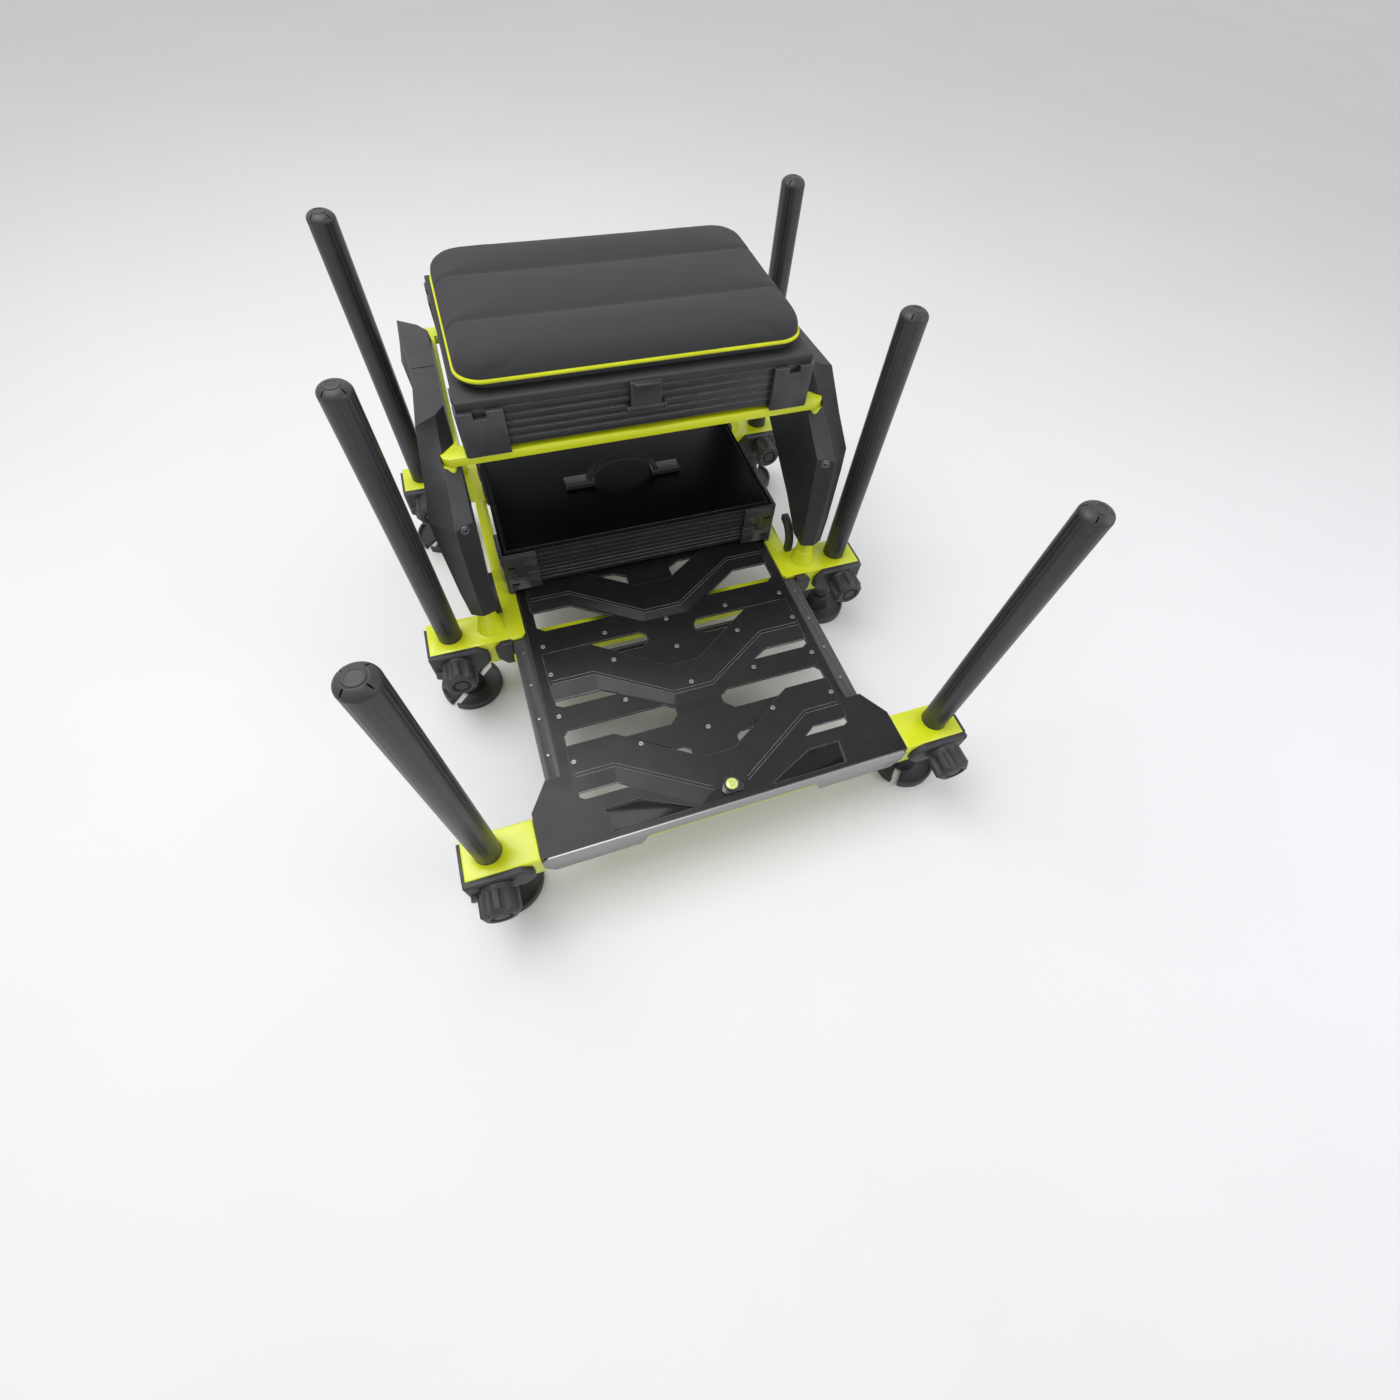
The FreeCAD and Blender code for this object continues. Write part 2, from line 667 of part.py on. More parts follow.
def lower_frame():
    corner, back = front_corner(), rear_corner()
    export("front_right_corner", *corner)
    export("front_left_corner", *[mirrored(piece) for piece in corner])
    export("rear_right_corner", *back)
    export("rear_left_corner", *[mirrored(piece) for piece in back])
    export("cross_tubes", cross_tube(front_tube_y), cross_tube(rear_front_y))
    rail, guide, clip = side_rail(), rail_guide(), case_clip()
    export("side_rails", rail, mirrored(rail))
    export("rail_guides", guide, mirrored(guide))
    export("case_clips", clip, mirrored(clip))
    cover = clamp_cover()
    front, rear = moved(cover, 0, box_front_y, 0), moved(cover, 0, rear_front_y, 0)
    export("clamp_covers", front, mirrored(front), rear, mirrored(rear))
    shell = side_cover()
    back_shell = mirrored_y(shell, frame_centre_y)
    export("front_right_cover", shell)
    export("front_left_cover", mirrored(shell))
    export("rear_right_cover", back_shell)
    export("rear_left_cover", mirrored(back_shell))
    export("upper_frame", upper_frame())


# Footplate

def band_line(outer_y, knee_x, tip_x, tip_y):
    return both_sides([(deck_half - deck_band_margin, outer_y), (knee_x, outer_y), (tip_x, tip_y)])


def band(back, ridge, toe, z):
    """A raised V band: flat on top from back to ridge, then sloping down to toe."""
    back_line = band_line(*back)
    low = back_line + list(reversed(band_line(*toe)))
    high = back_line + list(reversed(band_line(*ridge)))
    return ruled([(low, z), (high, z + band_h)])


def deck_panel():
    z = block_top_z
    half = deck_half
    outline = both_sides([(wing_half, 0), (wing_half, wing_flat_y), (wing_half, wing_taper_y),
                          (rail_out, wing_end_y), (half, wing_end_y), (half, deck_rear_y)])
    deck = plate(outline, z - deck_t, z).fuse([band(back, ridge, toe, z) for back, ridge, toe in deck_bands])
    skirt_z = z - deck_t - deck_skirt_h
    skirt = box(half - deck_skirt_w, half, beam_setback + beam_depth + 1, deck_rear_y, skirt_z, z - 1)
    rib_lines = (wing_end_y + deck_skirt_w, (wing_end_y + deck_rear_y) / 2.0, deck_rear_y - deck_skirt_w)
    ribs = [box(-half, half, y, y + deck_skirt_w, z - deck_t - deck_rib_drop, z - 1) for y in rib_lines]
    deck = deck.fuse([skirt, mirrored(skirt)] + ribs)
    cutters = [plate(points, z - deck_t - 1, z + band_h + 1) for points in deck_slots]
    cutters.append(plate(deck_pocket, z - pocket_depth, z + 1))
    cutters += [mirrored(cutter) for cutter in cutters]
    cutters.append(rod((0, level_y, z), (0, 0, 1), level_r + seat_gap, band_h + 1))
    return deck.cut(Part.makeCompound(cutters)).removeSplitter()


def deck_rail():
    """Right channel rail beside the deck; it slides between the corner's ledge and the cross tube."""
    x0 = deck_half + seat_gap
    y0 = wing_end_y + seat_gap
    low = rail_top_z - rail_h
    rail = box(x0, rail_out, y0, deck_rear_y, low, rail_top_z)
    rail = rail.cut(box(x0 + rail_wall, rail_out - rail_wall, y0 + 3, deck_rear_y - 3,
                        low + rail_wall, rail_top_z - rail_wall))
    tongue = box(x0, rail_out, beam_setback + beam_depth + seat_gap, y0 + 1, low, rail_top_z)
    groove = box(x0 + rail_groove, rail_out - rail_groove, y0 + 6, deck_rear_y - 6,
                 rail_top_z - 1, rail_top_z + 1)
    return rail.fuse(tongue).cut(groove).removeSplitter()


def front_beam():
    z1 = block_top_z - beam_drop
    y0, y1 = beam_setback, beam_setback + beam_depth
    beam = box(-front_block_in, front_block_in, y0, y1, block_low_z, z1)
    return beam.cut(box(-front_block_in - 1, front_block_in + 1, y0 + beam_wall, y1 - beam_wall,
                        block_low_z + beam_wall, z1 - beam_wall))


def fascia():
    """Grey strip across the front edge, cut up in the middle over the beam."""
    z1 = block_top_z
    low, mid = z1 - fascia_h, z1 - fascia_mid_h
    half, step = wing_half, fascia_mid_half
    outline = [(half, z1 - fascia_nick), (half, low + fascia_chamfer), (half - fascia_corner, low),
               (step + fascia_step, low), (step, mid)]
    outline = outline + [(-x, z) for x, z in reversed(outline)]
    outline += [(-half + fascia_nick, z1), (half - fascia_nick, z1)]
    return prism_y(outline, -fascia_t, 0)


def spirit_level():
    """Bullseye level sunk in the middle band, with a domed vial in its cup."""
    inner = level_r - level_wall
    body = rod((0, level_y, block_top_z), (0, 0, 1), level_r, level_h)
    well = rod((0, level_y, block_top_z + level_h / 2), (0, 0, 1), inner, level_h)
    vial = rod((0, level_y, block_top_z + level_h / 2), (0, 0, 1), inner, level_h / 2 + 0.5)
    return body.cut(well).fuse(vial).removeSplitter()


def deck_screws():
    """Round-head screws that hold the deck to its ribs."""
    heads = []
    for points, lift in ((base_screws, block_top_z), (band_screws, block_top_z + band_h)):
        for x, y in points:
            head = screw_head(x, y, lift)
            heads.append(head)
            if x > 0:
                heads.append(mirrored(head))
    return heads


def screw_head(x, y, z):
    head = rod((x, y, z), (0, 0, 1), screw_head_r, screw_head_h)
    top = [e for e in head.Edges if e.BoundBox.ZMin > z + 0.5 and e.Length > screw_head_r * 6]
    head = head.makeFillet(screw_head_h * 0.6, top)
    slot = box(x - screw_head_r * 0.55, x + screw_head_r * 0.55, y - screw_slot_w / 2, y + screw_slot_w / 2,
               z + screw_head_h / 2, z + screw_head_h + 1)
    return head.cut(slot)


def footplate():
    export("deck_panel", deck_panel())
    rail = deck_rail()
    export("deck_rails", rail, mirrored(rail))
    export("front_beam", front_beam())
    block = front_block()
    export("right_front_block", block)
    export("left_front_block", mirrored(block))
    export("fascia", fascia())
    export("spirit_level", spirit_level())
    export("deck_screws", *deck_screws())
    cover = clamp_cover()
    export("front_clamp_covers", cover, mirrored(cover))


# Trays, case and seat

def edge_grooves(half, y0, y1, z0, z1, count):
    """Long grooves in the four walls of a tray, evenly spaced in height."""
    cuts = []
    pitch = (z1 - z0) / (count + 1)
    for i in range(count):
        z = z0 + pitch * (i + 1)
        outer = box(-half - 1, half + 1, y0 - 1, y1 + 1, z - groove_half, z + groove_half)
        core = box(-half + edge_groove, half - edge_groove, y0 + edge_groove, y1 - edge_groove,
                   z - 2 * groove_half, z + 2 * groove_half)
        cuts.append(outer.cut(core))
    return Part.makeCompound(cuts)


def open_tray(half, y0, y1, z0, z1, grooves):
    tray = box(-half, half, y0, y1, z0, z1)
    room = box(-half + box_wall, half - box_wall, y0 + box_wall, y1 - box_wall, z0 + box_wall, z1 + 1)
    tray = tray.cut(room)
    return tray.cut(edge_grooves(half, y0, y1, z0, z1, grooves))


def rounded_corner(half, y0, z0, z1):
    piece = box(half - corner_len, half, y0, y0 + corner_len, z0, z1)
    return piece.makeFillet(corner_round, [e for e in piece.Edges if e.BoundBox.XMin > half - 0.1
                                           and e.BoundBox.YMax < y0 + 0.1 and e.BoundBox.ZLength > 1])


def tray_corner(half, y0, z0, z1, floor_z):
    """Plastic corner wrapped round a tray's right front corner, with one castle notch on each face."""
    piece = rounded_corner(half, y0, z0, z1)
    room = box(half - corner_len - 1, half - corner_t, y0 + corner_t, y0 + corner_len + 1, floor_z, z1 + 1)
    piece = piece.cut(room)
    x, y = half - corner_len / 2, y0 + corner_len / 2
    for x0, x1, y_from, y_to in ((x - notch_half, x + notch_half, y0 - 1, y0 + corner_t + 0.1),
                                 (half - corner_t - 0.1, half + 1, y - notch_half, y + notch_half)):
        piece = piece.cut(box(x0, x1, y_from, y_to, z1 - notch_depth, z1 + 1))
    return piece


def four_corners(pieces, centre_y):
    right = list(pieces) + [mirrored_y(piece, centre_y) for piece in pieces]
    return right + [mirrored(piece) for piece in right]


def corner_tab(half, y0, z_from, z_to):
    """Tab under a lid corner that drops into the lower corner's notch."""
    middle = corner_len / 2
    tab = notch_half - tab_clearance
    front = box(half - middle - tab, half - middle + tab, y0, y0 + corner_t, z_from, z_to)
    side = box(half - corner_t, half, y0 + middle - tab, y0 + middle + tab, z_from, z_to)
    return front, side


def case():
    half, y0, y1 = case_half - corner_t, case_front_y + corner_t, case_back_y - corner_t
    z0, split, top = block_top_z + case_foot, block_top_z + case_split, case_top_z
    hinge_y = case_back_y + knuckle_r - corner_t + knuckle_gap
    tray = open_tray(half, y0, y1, z0, split, 3)
    lid = box(-half, half, y0, y1, split + split_gap, top)
    lid = lid.cut(box(-half + box_wall, half - box_wall, y0 + box_wall, y1 - box_wall, split, top - box_wall))
    lid = lid.cut(edge_grooves(half, y0, y1, split, top, 3))
    a, b, low = case_panel_in, case_panel_in + case_panel_line, top - case_panel_depth
    panel = box(-half + a, half - a, y0 + a, y1 - a, low, top + 1)
    lid = lid.cut(panel.cut(box(-half + b, half - b, y0 + b, y1 - b, low - 1, top + 2)))
    tray, lid, pins = hinge(tray, lid, case_hinge_x, hinge_y, split, y1, z0 + 3, top - 3)
    export("case_tray", tray)
    export("case_lid", lid)
    export("case_hinge_pins", *pins)
    foot_z = block_top_z + corner_lift
    low = tray_corner(case_half, case_front_y, foot_z, split, z0)
    pad = rounded_corner(case_half, case_front_y, block_top_z, foot_z).common(
        box(box_block_in - 1, case_half, case_front_y, case_front_y + corner_len, block_top_z, foot_z))
    export("case_tray_corners", *four_corners((low, pad), case_centre_y))
    high = rounded_corner(case_half, case_front_y, split + split_gap, top)
    high = high.cut(box(0, half, y0, case_back_y, split, top + 1))
    drop = split + split_gap - notch_depth + 2 * tab_clearance
    front = high.fuse(list(corner_tab(case_half, case_front_y, drop, split + split_gap + 1))).removeSplitter()
    rear = mirrored_y(high, case_centre_y)
    export("case_lid_corners", front, mirrored(front), rear, mirrored(rear))
    handle()


def hinge(lower, upper, x, y, z, wall_y, low_z, high_z):
    """Two pin hinges behind a tray: outer knuckles on the lower part, the middle one on the upper."""
    third = knuckle_len / 3.0
    pins = []
    for side in (-1, 1):
        left = side * x - knuckle_len / 2.0
        pins.append(rod((left, y, z), (1, 0, 0), hinge_pin_r, knuckle_len))
        for i in range(3):
            a = left + third * i + (knuckle_gap / 2 if i else 0)
            length = third - (knuckle_gap / 2 if i != 1 else knuckle_gap)
            barrel = rod((a, y, z), (1, 0, 0), knuckle_r, length)
            fit = pin_clearance if i == 1 else 0.0
            bore = rod((a - 1, y, z), (1, 0, 0), hinge_pin_r + fit, length + 2)
            if i == 1:
                strap = box(a, a + length, wall_y, y, z + hinge_part, z + knuckle_r)
                leaf = box(a, a + length, wall_y, wall_y + hinge_leaf_t, z + hinge_part, high_z)
                upper = upper.fuse([barrel, strap, leaf]).cut(bore)
            else:
                strap = box(a, a + length, wall_y, y, z - knuckle_r, z - hinge_part)
                leaf = box(a, a + length, wall_y, wall_y + hinge_leaf_t, low_z, z - hinge_part)
                lower = lower.fuse([barrel, strap, leaf]).cut(bore)
    return lower.removeSplitter(), upper.removeSplitter(), pins


def handle():
    """Strap handle on the case's lid: an arched strap whose feet lie under two mounts."""
    z0 = case_top_z
    y = case_centre_y
    foot_w = handle_w + 2 * mount_clearance
    slot_t = handle_t + 2 * mount_clearance
    radius = (handle_half ** 2 + handle_rise ** 2) / (2 * handle_rise)
    centre_z = z0 + handle_rise - radius
    mount = box(mount_in, mount_out, y - mount_w / 2, y + mount_w / 2, z0, z0 + mount_h)
    mount = mount.makeChamfer(mount_edge, [e for e in mount.Edges if e.BoundBox.ZMin > z0 + mount_h - 0.1])
    way = strap_arc(radius + mount_clearance, slot_t, centre_z, foot_w)
    room = box(handle_half - slot_t, handle_half + handle_foot_len, y - foot_w / 2, y + foot_w / 2,
               z0 - 1, z0 + handle_foot_t + mount_clearance)
    mount = mount.cut(way).cut(room)
    export("handle_mounts", mount, mirrored(mount))
    arch = strap_arc(radius, handle_t, centre_z, handle_w).common(
        box(-mount_out, mount_out, y - handle_w, y + handle_w, z0, z0 + handle_rise + 1))
    foot = box(handle_half - handle_t, handle_half + handle_foot_len - mount_clearance, y - handle_w / 2,
               y + handle_w / 2, z0, z0 + handle_foot_t)
    export("case_handle", arch.fuse([foot, mirrored(foot)]).removeSplitter())


def strap_arc(radius, thickness, centre_z, width):
    y0 = case_centre_y - width / 2
    outer = rod((0, y0, centre_z), (0, 1, 0), radius, width)
    return outer.cut(rod((0, y0 - 1, centre_z), (0, 1, 0), radius - thickness, width + 2))


def seat():
    half, y0, y1 = tray_half - corner_t, tray_front_y + corner_t, tray_back_y - corner_t
    z0, top = ring_top_z + tray_foot, tray_top_z
    hinge_y = tray_back_y + knuckle_r - corner_t + knuckle_gap
    tray = open_tray(half, y0, y1, z0, top, 4)
    board = box(-seat_board_half, seat_board_half, y0, y1, seat_board_z, seat_board_top)
    top_edges = [e for e in board.Edges if e.BoundBox.ZMin > seat_board_top - 0.1]
    board = board.makeFillet(seat_board_round, top_edges)
    tray, board, pins = hinge(tray, board, seat_hinge_x, hinge_y, top, y1, z0 + seat_leaf_low,
                              seat_board_top - seat_leaf_high)
    export("seat_tray", tray.fuse(catch_lugs(y0)).removeSplitter())
    export("seat_board", board)
    export("seat_catch", seat_catch(y0, seat_board_top))
    corner = tray_corner(tray_half, tray_front_y, ring_top_z, top, z0)
    export("seat_tray_corners", *four_corners((corner,), frame_centre_y))
    export("seat_cushion", cushion(y0 + cushion_inset, y1 - cushion_inset))
    export("seat_hinge_pins", *pins)


def seat_catch(y_front, board_top):
    """Latch that turns on a pin between the tray's front lugs, its nib close to the board's edge."""
    pin_z = tray_top_z - catch_drop
    pin_y = y_front - catch_barrel_r - catch_wall_gap
    half = catch_w / 2
    face_y = pin_y - catch_t / 2
    body = box(-half, half, face_y, pin_y + catch_t / 2, pin_z, board_top - 1)
    nib = box(-half, half, pin_y, y_front - knob_gap, seat_board_z + 3, board_top - 1)
    pull = box(-half + 4, half - 4, face_y - catch_pull, face_y + 1, board_top - 5, board_top - 1)
    barrel = rod((-half, pin_y, pin_z), (1, 0, 0), catch_barrel_r, catch_w)
    bore = rod((-half - 1, pin_y, pin_z), (1, 0, 0), catch_pin_r + pin_clearance, catch_w + 2)
    return body.fuse([nib, pull, barrel]).cut(bore).removeSplitter()


def catch_lugs(y_front):
    pin_z = tray_top_z - catch_drop
    pin_y = y_front - catch_barrel_r - catch_wall_gap
    inner = catch_w / 2 + split_gap
    lugs = [rod((-inner - catch_lug, pin_y, pin_z), (1, 0, 0), catch_pin_r, 2 * (inner + catch_lug))]
    lug = box(inner, inner + catch_lug, pin_y - catch_barrel_r, y_front, pin_z - catch_barrel_r,
              pin_z + catch_barrel_r)
    return lugs + [lug, mirrored(lug)]


def rounded_wire(half, y0, y1, r, z):
    """Closed outline of a rounded rectangle at height z."""
    ends = [(half, y0 + r), (half, y1 - r), (half - r, y1), (-half + r, y1), (-half, y1 - r), (-half, y0 + r),
            (-half + r, y0), (half - r, y0)]
    s = r * (1 - math.cos(math.pi / 4))
    mids = [(half - s, y1 - s), (-half + s, y1 - s), (-half + s, y0 + s), (half - s, y0 + s)]
    edges = []
    for i, mid in enumerate(mids):
        p, q, n = [vec(x, y, z) for x, y in (ends[2 * i], ends[2 * i + 1], ends[(2 * i + 2) % 8])]
        edges.append(Part.LineSegment(p, q).toShape())
        edges.append(Part.Arc(q, vec(mid[0], mid[1], z), n).toShape())
    return Part.Wire(edges)


def cushion(y0, y1):
    """Padded seat: flat below, drawn in at the sides and crowned on top."""
    sections = []
    for level, pull in cushion_levels:
        z = seat_board_top + cushion_h * level
        sections.append(rounded_wire(cushion_half - pull, y0 + pull, y1 - pull, cushion_round, z))
    return Part.makeLoft(sections, True, False)


def main():
    os.makedirs("parts", exist_ok=True)
    legs()
    lower_frame()
    footplate()
    case()
    seat()
    print("origin is", round(part_centre_y, 3), "mm behind the footplate's front edge")


main()
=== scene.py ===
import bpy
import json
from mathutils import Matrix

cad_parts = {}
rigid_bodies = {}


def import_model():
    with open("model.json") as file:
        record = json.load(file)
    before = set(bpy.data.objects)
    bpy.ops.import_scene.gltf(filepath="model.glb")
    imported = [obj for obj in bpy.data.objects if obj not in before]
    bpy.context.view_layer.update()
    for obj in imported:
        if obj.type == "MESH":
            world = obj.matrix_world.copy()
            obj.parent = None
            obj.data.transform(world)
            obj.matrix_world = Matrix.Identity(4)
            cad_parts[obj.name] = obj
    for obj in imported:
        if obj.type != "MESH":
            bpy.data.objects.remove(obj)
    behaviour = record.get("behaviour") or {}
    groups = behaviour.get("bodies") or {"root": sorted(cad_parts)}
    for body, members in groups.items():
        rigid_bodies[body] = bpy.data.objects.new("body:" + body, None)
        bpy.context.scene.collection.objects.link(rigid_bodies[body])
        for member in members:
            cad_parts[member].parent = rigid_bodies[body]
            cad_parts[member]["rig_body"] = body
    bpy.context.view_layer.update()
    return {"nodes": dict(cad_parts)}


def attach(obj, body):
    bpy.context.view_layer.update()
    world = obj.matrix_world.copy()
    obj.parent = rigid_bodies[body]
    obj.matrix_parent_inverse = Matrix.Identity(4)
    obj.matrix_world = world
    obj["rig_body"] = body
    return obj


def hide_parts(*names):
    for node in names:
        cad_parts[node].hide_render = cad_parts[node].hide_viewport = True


bl_info = {
    "name": "Fishing seat box",
    "version": (1, 0, 0),
    "blender": (4, 5, 0),
    "location": "3D View > Sidebar > Seat Box",
    "description": "Dresses the packed seat box: softened castings, finishes, cushion and stage",
    "category": "Object",
}

import json
import math

import bmesh
import bpy
from bpy.props import FloatProperty, FloatVectorProperty, IntProperty, PointerProperty
from bpy.types import Operator, Panel, PropertyGroup
from mathutils import Matrix, Vector

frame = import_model()

MM = 0.001
SIDES = (("left", -1.0), ("right", 1.0))
ROWS = ("front", "box", "rear")
LEGS = [f"{row}_{side}" for row in ROWS for side, _ in SIDES]
CORNERS = [f"{row}_{side}" for row in ("front", "rear") for side, _ in SIDES]
UPWARD = (0, 0, 1)
FORWARD = (0, -1, 0)


# Copies of CAD nodes: how close points are merged, and how far rounding may change the area

MERGE = 0.02
SOFT_AREA = (0.93, 1.05)


# Rounding of single pieces, in millimetres

COVER_EDGE = 1.4
DECK_EDGE = 0.7
DECK_SCREW_EDGE = 0.25
FOOT_EDGE = 0.8
KNOB_EDGE = 1.2
WALL_EDGE = 0.4
STRAP_EDGE = 0.9
CATCH_EDGE = 0.8


# Forms read off the photograph and the part's source, in millimetres and degrees.
# A drum is (radius, depth, edge) and a hoop is (radius, thickness).

# Footplate: half width and rise of the raised bands, their ridges as (outer y, knee x, tip x,
# tip y), the paler strips on and behind each ridge, painted highlights, as (distance, width), the
# pockets and the rail screws
BAND_HALF = 201.0
BAND_RISE = 4.0
BAND_RIDGES = ((418.0, 138.0, 30.0, 346.5), (253.5, 137.0, 30.0, 185.0), (96.5, 146.0, 26.0, 22.0))
BAND_HIGHLIGHT_LINES = ((0.1, 1.0), (5.6, 1.1))
BAND_LINE_SUNK = 0.3
BAND_LINE_RISE = 0.5
POCKET_FLOOR = ((60.0, 9.5), (170.6, 9.5), (174.0, 40.5), (127.6, 40.5))
POCKET_DEPTHS = (3.2, 2.5)
FINE_EDGE = 0.2
RAIL_X = 231.0
RAIL_SCREWS = 7
RAIL_SCREW = (2.6, 1.6, 0.5)
RAIL_SCREW_SUNK = 0.4

# Bullseye level: the base's corners with half their turn in radians, the rim, the vial, and the
# ring drawn on it
LEVEL_BASE_R = 17.5
LEVEL_BASE_TURN = 0.22
LEVEL_BASE_SUNK = 0.2
LEVEL_BASE_RISE = 2.0
LEVEL_BASE_EDGE = 0.7
LEVEL_RIM = (9.7, 1.3)
LEVEL_RIM_SUNK = 0.4
VIAL_R = 8.6
VIAL_FLATNESS = 0.165
VIAL_SUNK = 0.3
LEVEL_MARK = (3.0, 0.25)
LEVEL_MARK_RISE = 0.95

# Post covers: where the screw's facet faces, the screw's place, and its head, seat and socket; the
# socket is a dark hexagon on the head, painted shade for its recess
COVER_FACET = (0.463, 0.887, 0.0)
COVER_SCREW_X = 257.0
COVER_SCREW_REACH = 200.0
COVER_SCREW_Z = 354.0
COVER_HEAD = (3.6, 2.0, 0.6)
COVER_HEAD_RISE = 0.6
COVER_SEAT = (5.4, 0.8)
COVER_SEAT_RISE = 0.4
COVER_SOCKET_SHADE = (1.7, 0.8)
COVER_SOCKET_SHADE_RISE = 1.5

# Clamp knobs: disc and rings on the face; a ring is (name, radius, thickness, distance behind)
KNOB_DISC = (9.6, 4.0, 0.9)
KNOB_DISC_BACK = 2.6
KNOB_RINGS = (("ring", 12.2, 1.1, 2.8), ("lip", 15.4, 0.7, 0.3))

# Leg caps: dome, slits, ring groove and sunk disc, and the length that is cut off the flat cap
CAP_R = 17.9
CAP_RISE = 10.0
CAP_LENGTH = 30.0
CAP_SLITS = 4
CAP_SLIT_SIZE = (8.0, 1.9, 12.0)
CAP_SLIT_R = 15.2
CAP_SLIT_Z = 8.6
CAP_GROOVE = (9.6, 0.9)
CAP_GROOVE_LEVEL = 0.84
CAP_WELL = (6.2, 5.0)
CAP_WELL_RISE = 1.2

# Case: marks on the corners as (distance from the corner, width, height, group), and the strap's
# arc with its ribs
MARK_FRAME = (45.0, 15.0, 15.0, "frame")
# The slit is a dark gloss box proud of the face: painted shade where a slit would be.
MARK_SLIT_SHADE = (15.0, 12.0, 3.0, "slit")
MARK_T = 2.2
MARK_EDGE = 0.35
STRAP_HALF = 66.0
STRAP_TURN = 42.0
STRAP_RIB_R = 1.1
STRAP_RIB_MARGIN = 3.0

# Cushion: height of the perimeter seam as a share, the sewn channels, what the cloth pins down,
# and steps per corner of the piping
SEAM_LEVEL = 0.30
CHANNELS = (-52.0, 52.0)
CHANNEL_DEPTH = 5.0
CHANNEL_SLOPE = 20.0
CUSHION_CORNER = 32.0
CUSHION_GRID = 5.0
CLOTH_STEPS = 20
CLOTH_PRESSURE = 4.0
PINNED_BOTTOM = 4.0
PINNED_SEAM = 3.0
PIPING_STEPS = 8


# Stage, in metres and degrees; a lamp is (place, size), the camera's turns are azimuth,
# elevation and roll

FLOOR_SIZE = 60.0
FLOOR_DRIFT = (0.02, 0.5)
BACKDROP = (0.93, 0.93, 0.95)
KEY_LIGHT = ((-0.7, 0.3, 2.4), (1.6, 1.6))
SIDE_LIGHT = ((2.0, -1.4, 1.5), (1.2, 1.6))
SIDE_COLOUR = (0.96, 0.98, 1.0)
LIT_SPOT = (0.0, 0.0, 0.2)
CAMERA_TURNS = (-24.788, 58.963, 6.874)
CAMERA_PLACE = (-0.1978, -0.6526, 0.9414)
SENSOR_WIDTH = 36.0


# Sockets of a colour Mix node, the grey that a group's colour starts from, and dust

MIX_FIRST, MIX_SECOND, MIX_RESULT = 6, 7, 2
GREY = (0.5, 0.5, 0.5, 1.0)
DUST_COLOUR = (0.34, 0.33, 0.31, 1.0)


# What a user would change


def tint(label, about, red, green, blue):
    return FloatVectorProperty(name=label, description=about, default=(red, green, blue), size=3,
                               subtype="COLOR", min=0.0, max=1.0)


def length(label, about, millimetres):
    return FloatProperty(name=label, description=about, default=millimetres * MM, min=0.0,
                         max=100.0 * MM, unit="LENGTH", precision=5)


class SeatBoxFinishes(PropertyGroup):
    lime: tint("Lime coat", "Powder coat of the castings, beam and rails", 0.72, 0.80, 0.012)
    plastic: tint("Black plastic", "Moulded covers, corners, knobs and feet", 0.028, 0.028, 0.031)
    leg: tint("Leg coat", "Anodised coat of the six fluted tubes", 0.040, 0.041, 0.044)
    deck: tint("Deck coat", "Coat of the footplate's panel", 0.011, 0.011, 0.012)
    rail: tint("Rail coat", "Coat of the two channel rails", 0.062, 0.063, 0.068)
    fascia: tint("Fascia", "Paint of the strip across the front", 0.23, 0.23, 0.25)
    case_wall: tint("Case wall", "Grooved walls of the case and seat tray", 0.028, 0.028, 0.032)
    case_gloss: tint("Case lid", "Gloss panel on the case's lid", 0.004, 0.004, 0.006)
    level: tint("Level fluid", "Fluid in the bullseye level", 0.62, 0.78, 0.20)
    steel: tint("Screw steel", "Blackened screw heads", 0.022, 0.022, 0.024)
    fabric: tint("Seat fabric", "Woven cover of the cushion", 0.020, 0.021, 0.024)
    piping: tint("Piping", "Sewn piping round the cushion", 0.60, 0.68, 0.012)


class SeatBoxSizes(PropertyGroup):
    casting_edge: length("Casting edge", "Rounding on the edges of castings", 1.3)
    plate_edge: length("Plate edge", "Rounding on the edges of plates and rails", 0.8)
    moulding_edge: length("Moulding edge", "Rounding on the edges of moulded plastic", 1.1)
    cushion_shrink: length("Cushion start", "How far inside its space the cushion starts", 4.0)
    cushion_swell: length("Cushion swell", "Furthest that the padding may puff out", 7.0)
    piping_radius: length("Piping radius", "Half the thickness of the piping", 2.4)
    strap_ribs: IntProperty(name="Strap ribs", description="Ribs across the carrying strap",
                            default=34, min=8, max=80)


class SeatBoxStage(PropertyGroup):
    lens: FloatProperty(name="Lens", description="Focal length on a 36 mm sensor, in millimetres",
                        default=15.90, min=8.0, max=200.0)
    key: FloatProperty(name="Key light", description="Power of the large soft light, in watts",
                       default=34.0, min=0.0)
    fill: FloatProperty(name="Fill light", description="Power of the side light, in watts",
                        default=14.0, min=0.0)
    sky: FloatProperty(name="Room light", description="Strength of the light from all round",
                       default=0.62, min=0.0)
    floor: tint("Floor", "Colour of the plain floor", 0.86, 0.86, 0.88)


def mm(numbers):
    """Millimetres as metres."""
    return [number * MM for number in numbers]


def finishes():
    return bpy.context.scene.seat_box_finishes


def sizes():
    return bpy.context.scene.seat_box_sizes


def stage():
    return bpy.context.scene.seat_box_stage


# Working on pieces


def alone(*chosen):
    """Leave only these objects selected, with the first one active."""
    bpy.ops.object.select_all(action="DESELECT")
    for piece in chosen:
        piece.select_set(True)
    bpy.context.view_layer.objects.active = chosen[0]


def modify(piece, kind, **values):
    """Add a modifier, set it and apply it."""
    alone(piece)
    modifier = piece.modifiers.new(kind.title(), kind)
    for key, value in values.items():
        setattr(modifier, key, value)
    bpy.ops.object.modifier_apply(modifier=modifier.name)


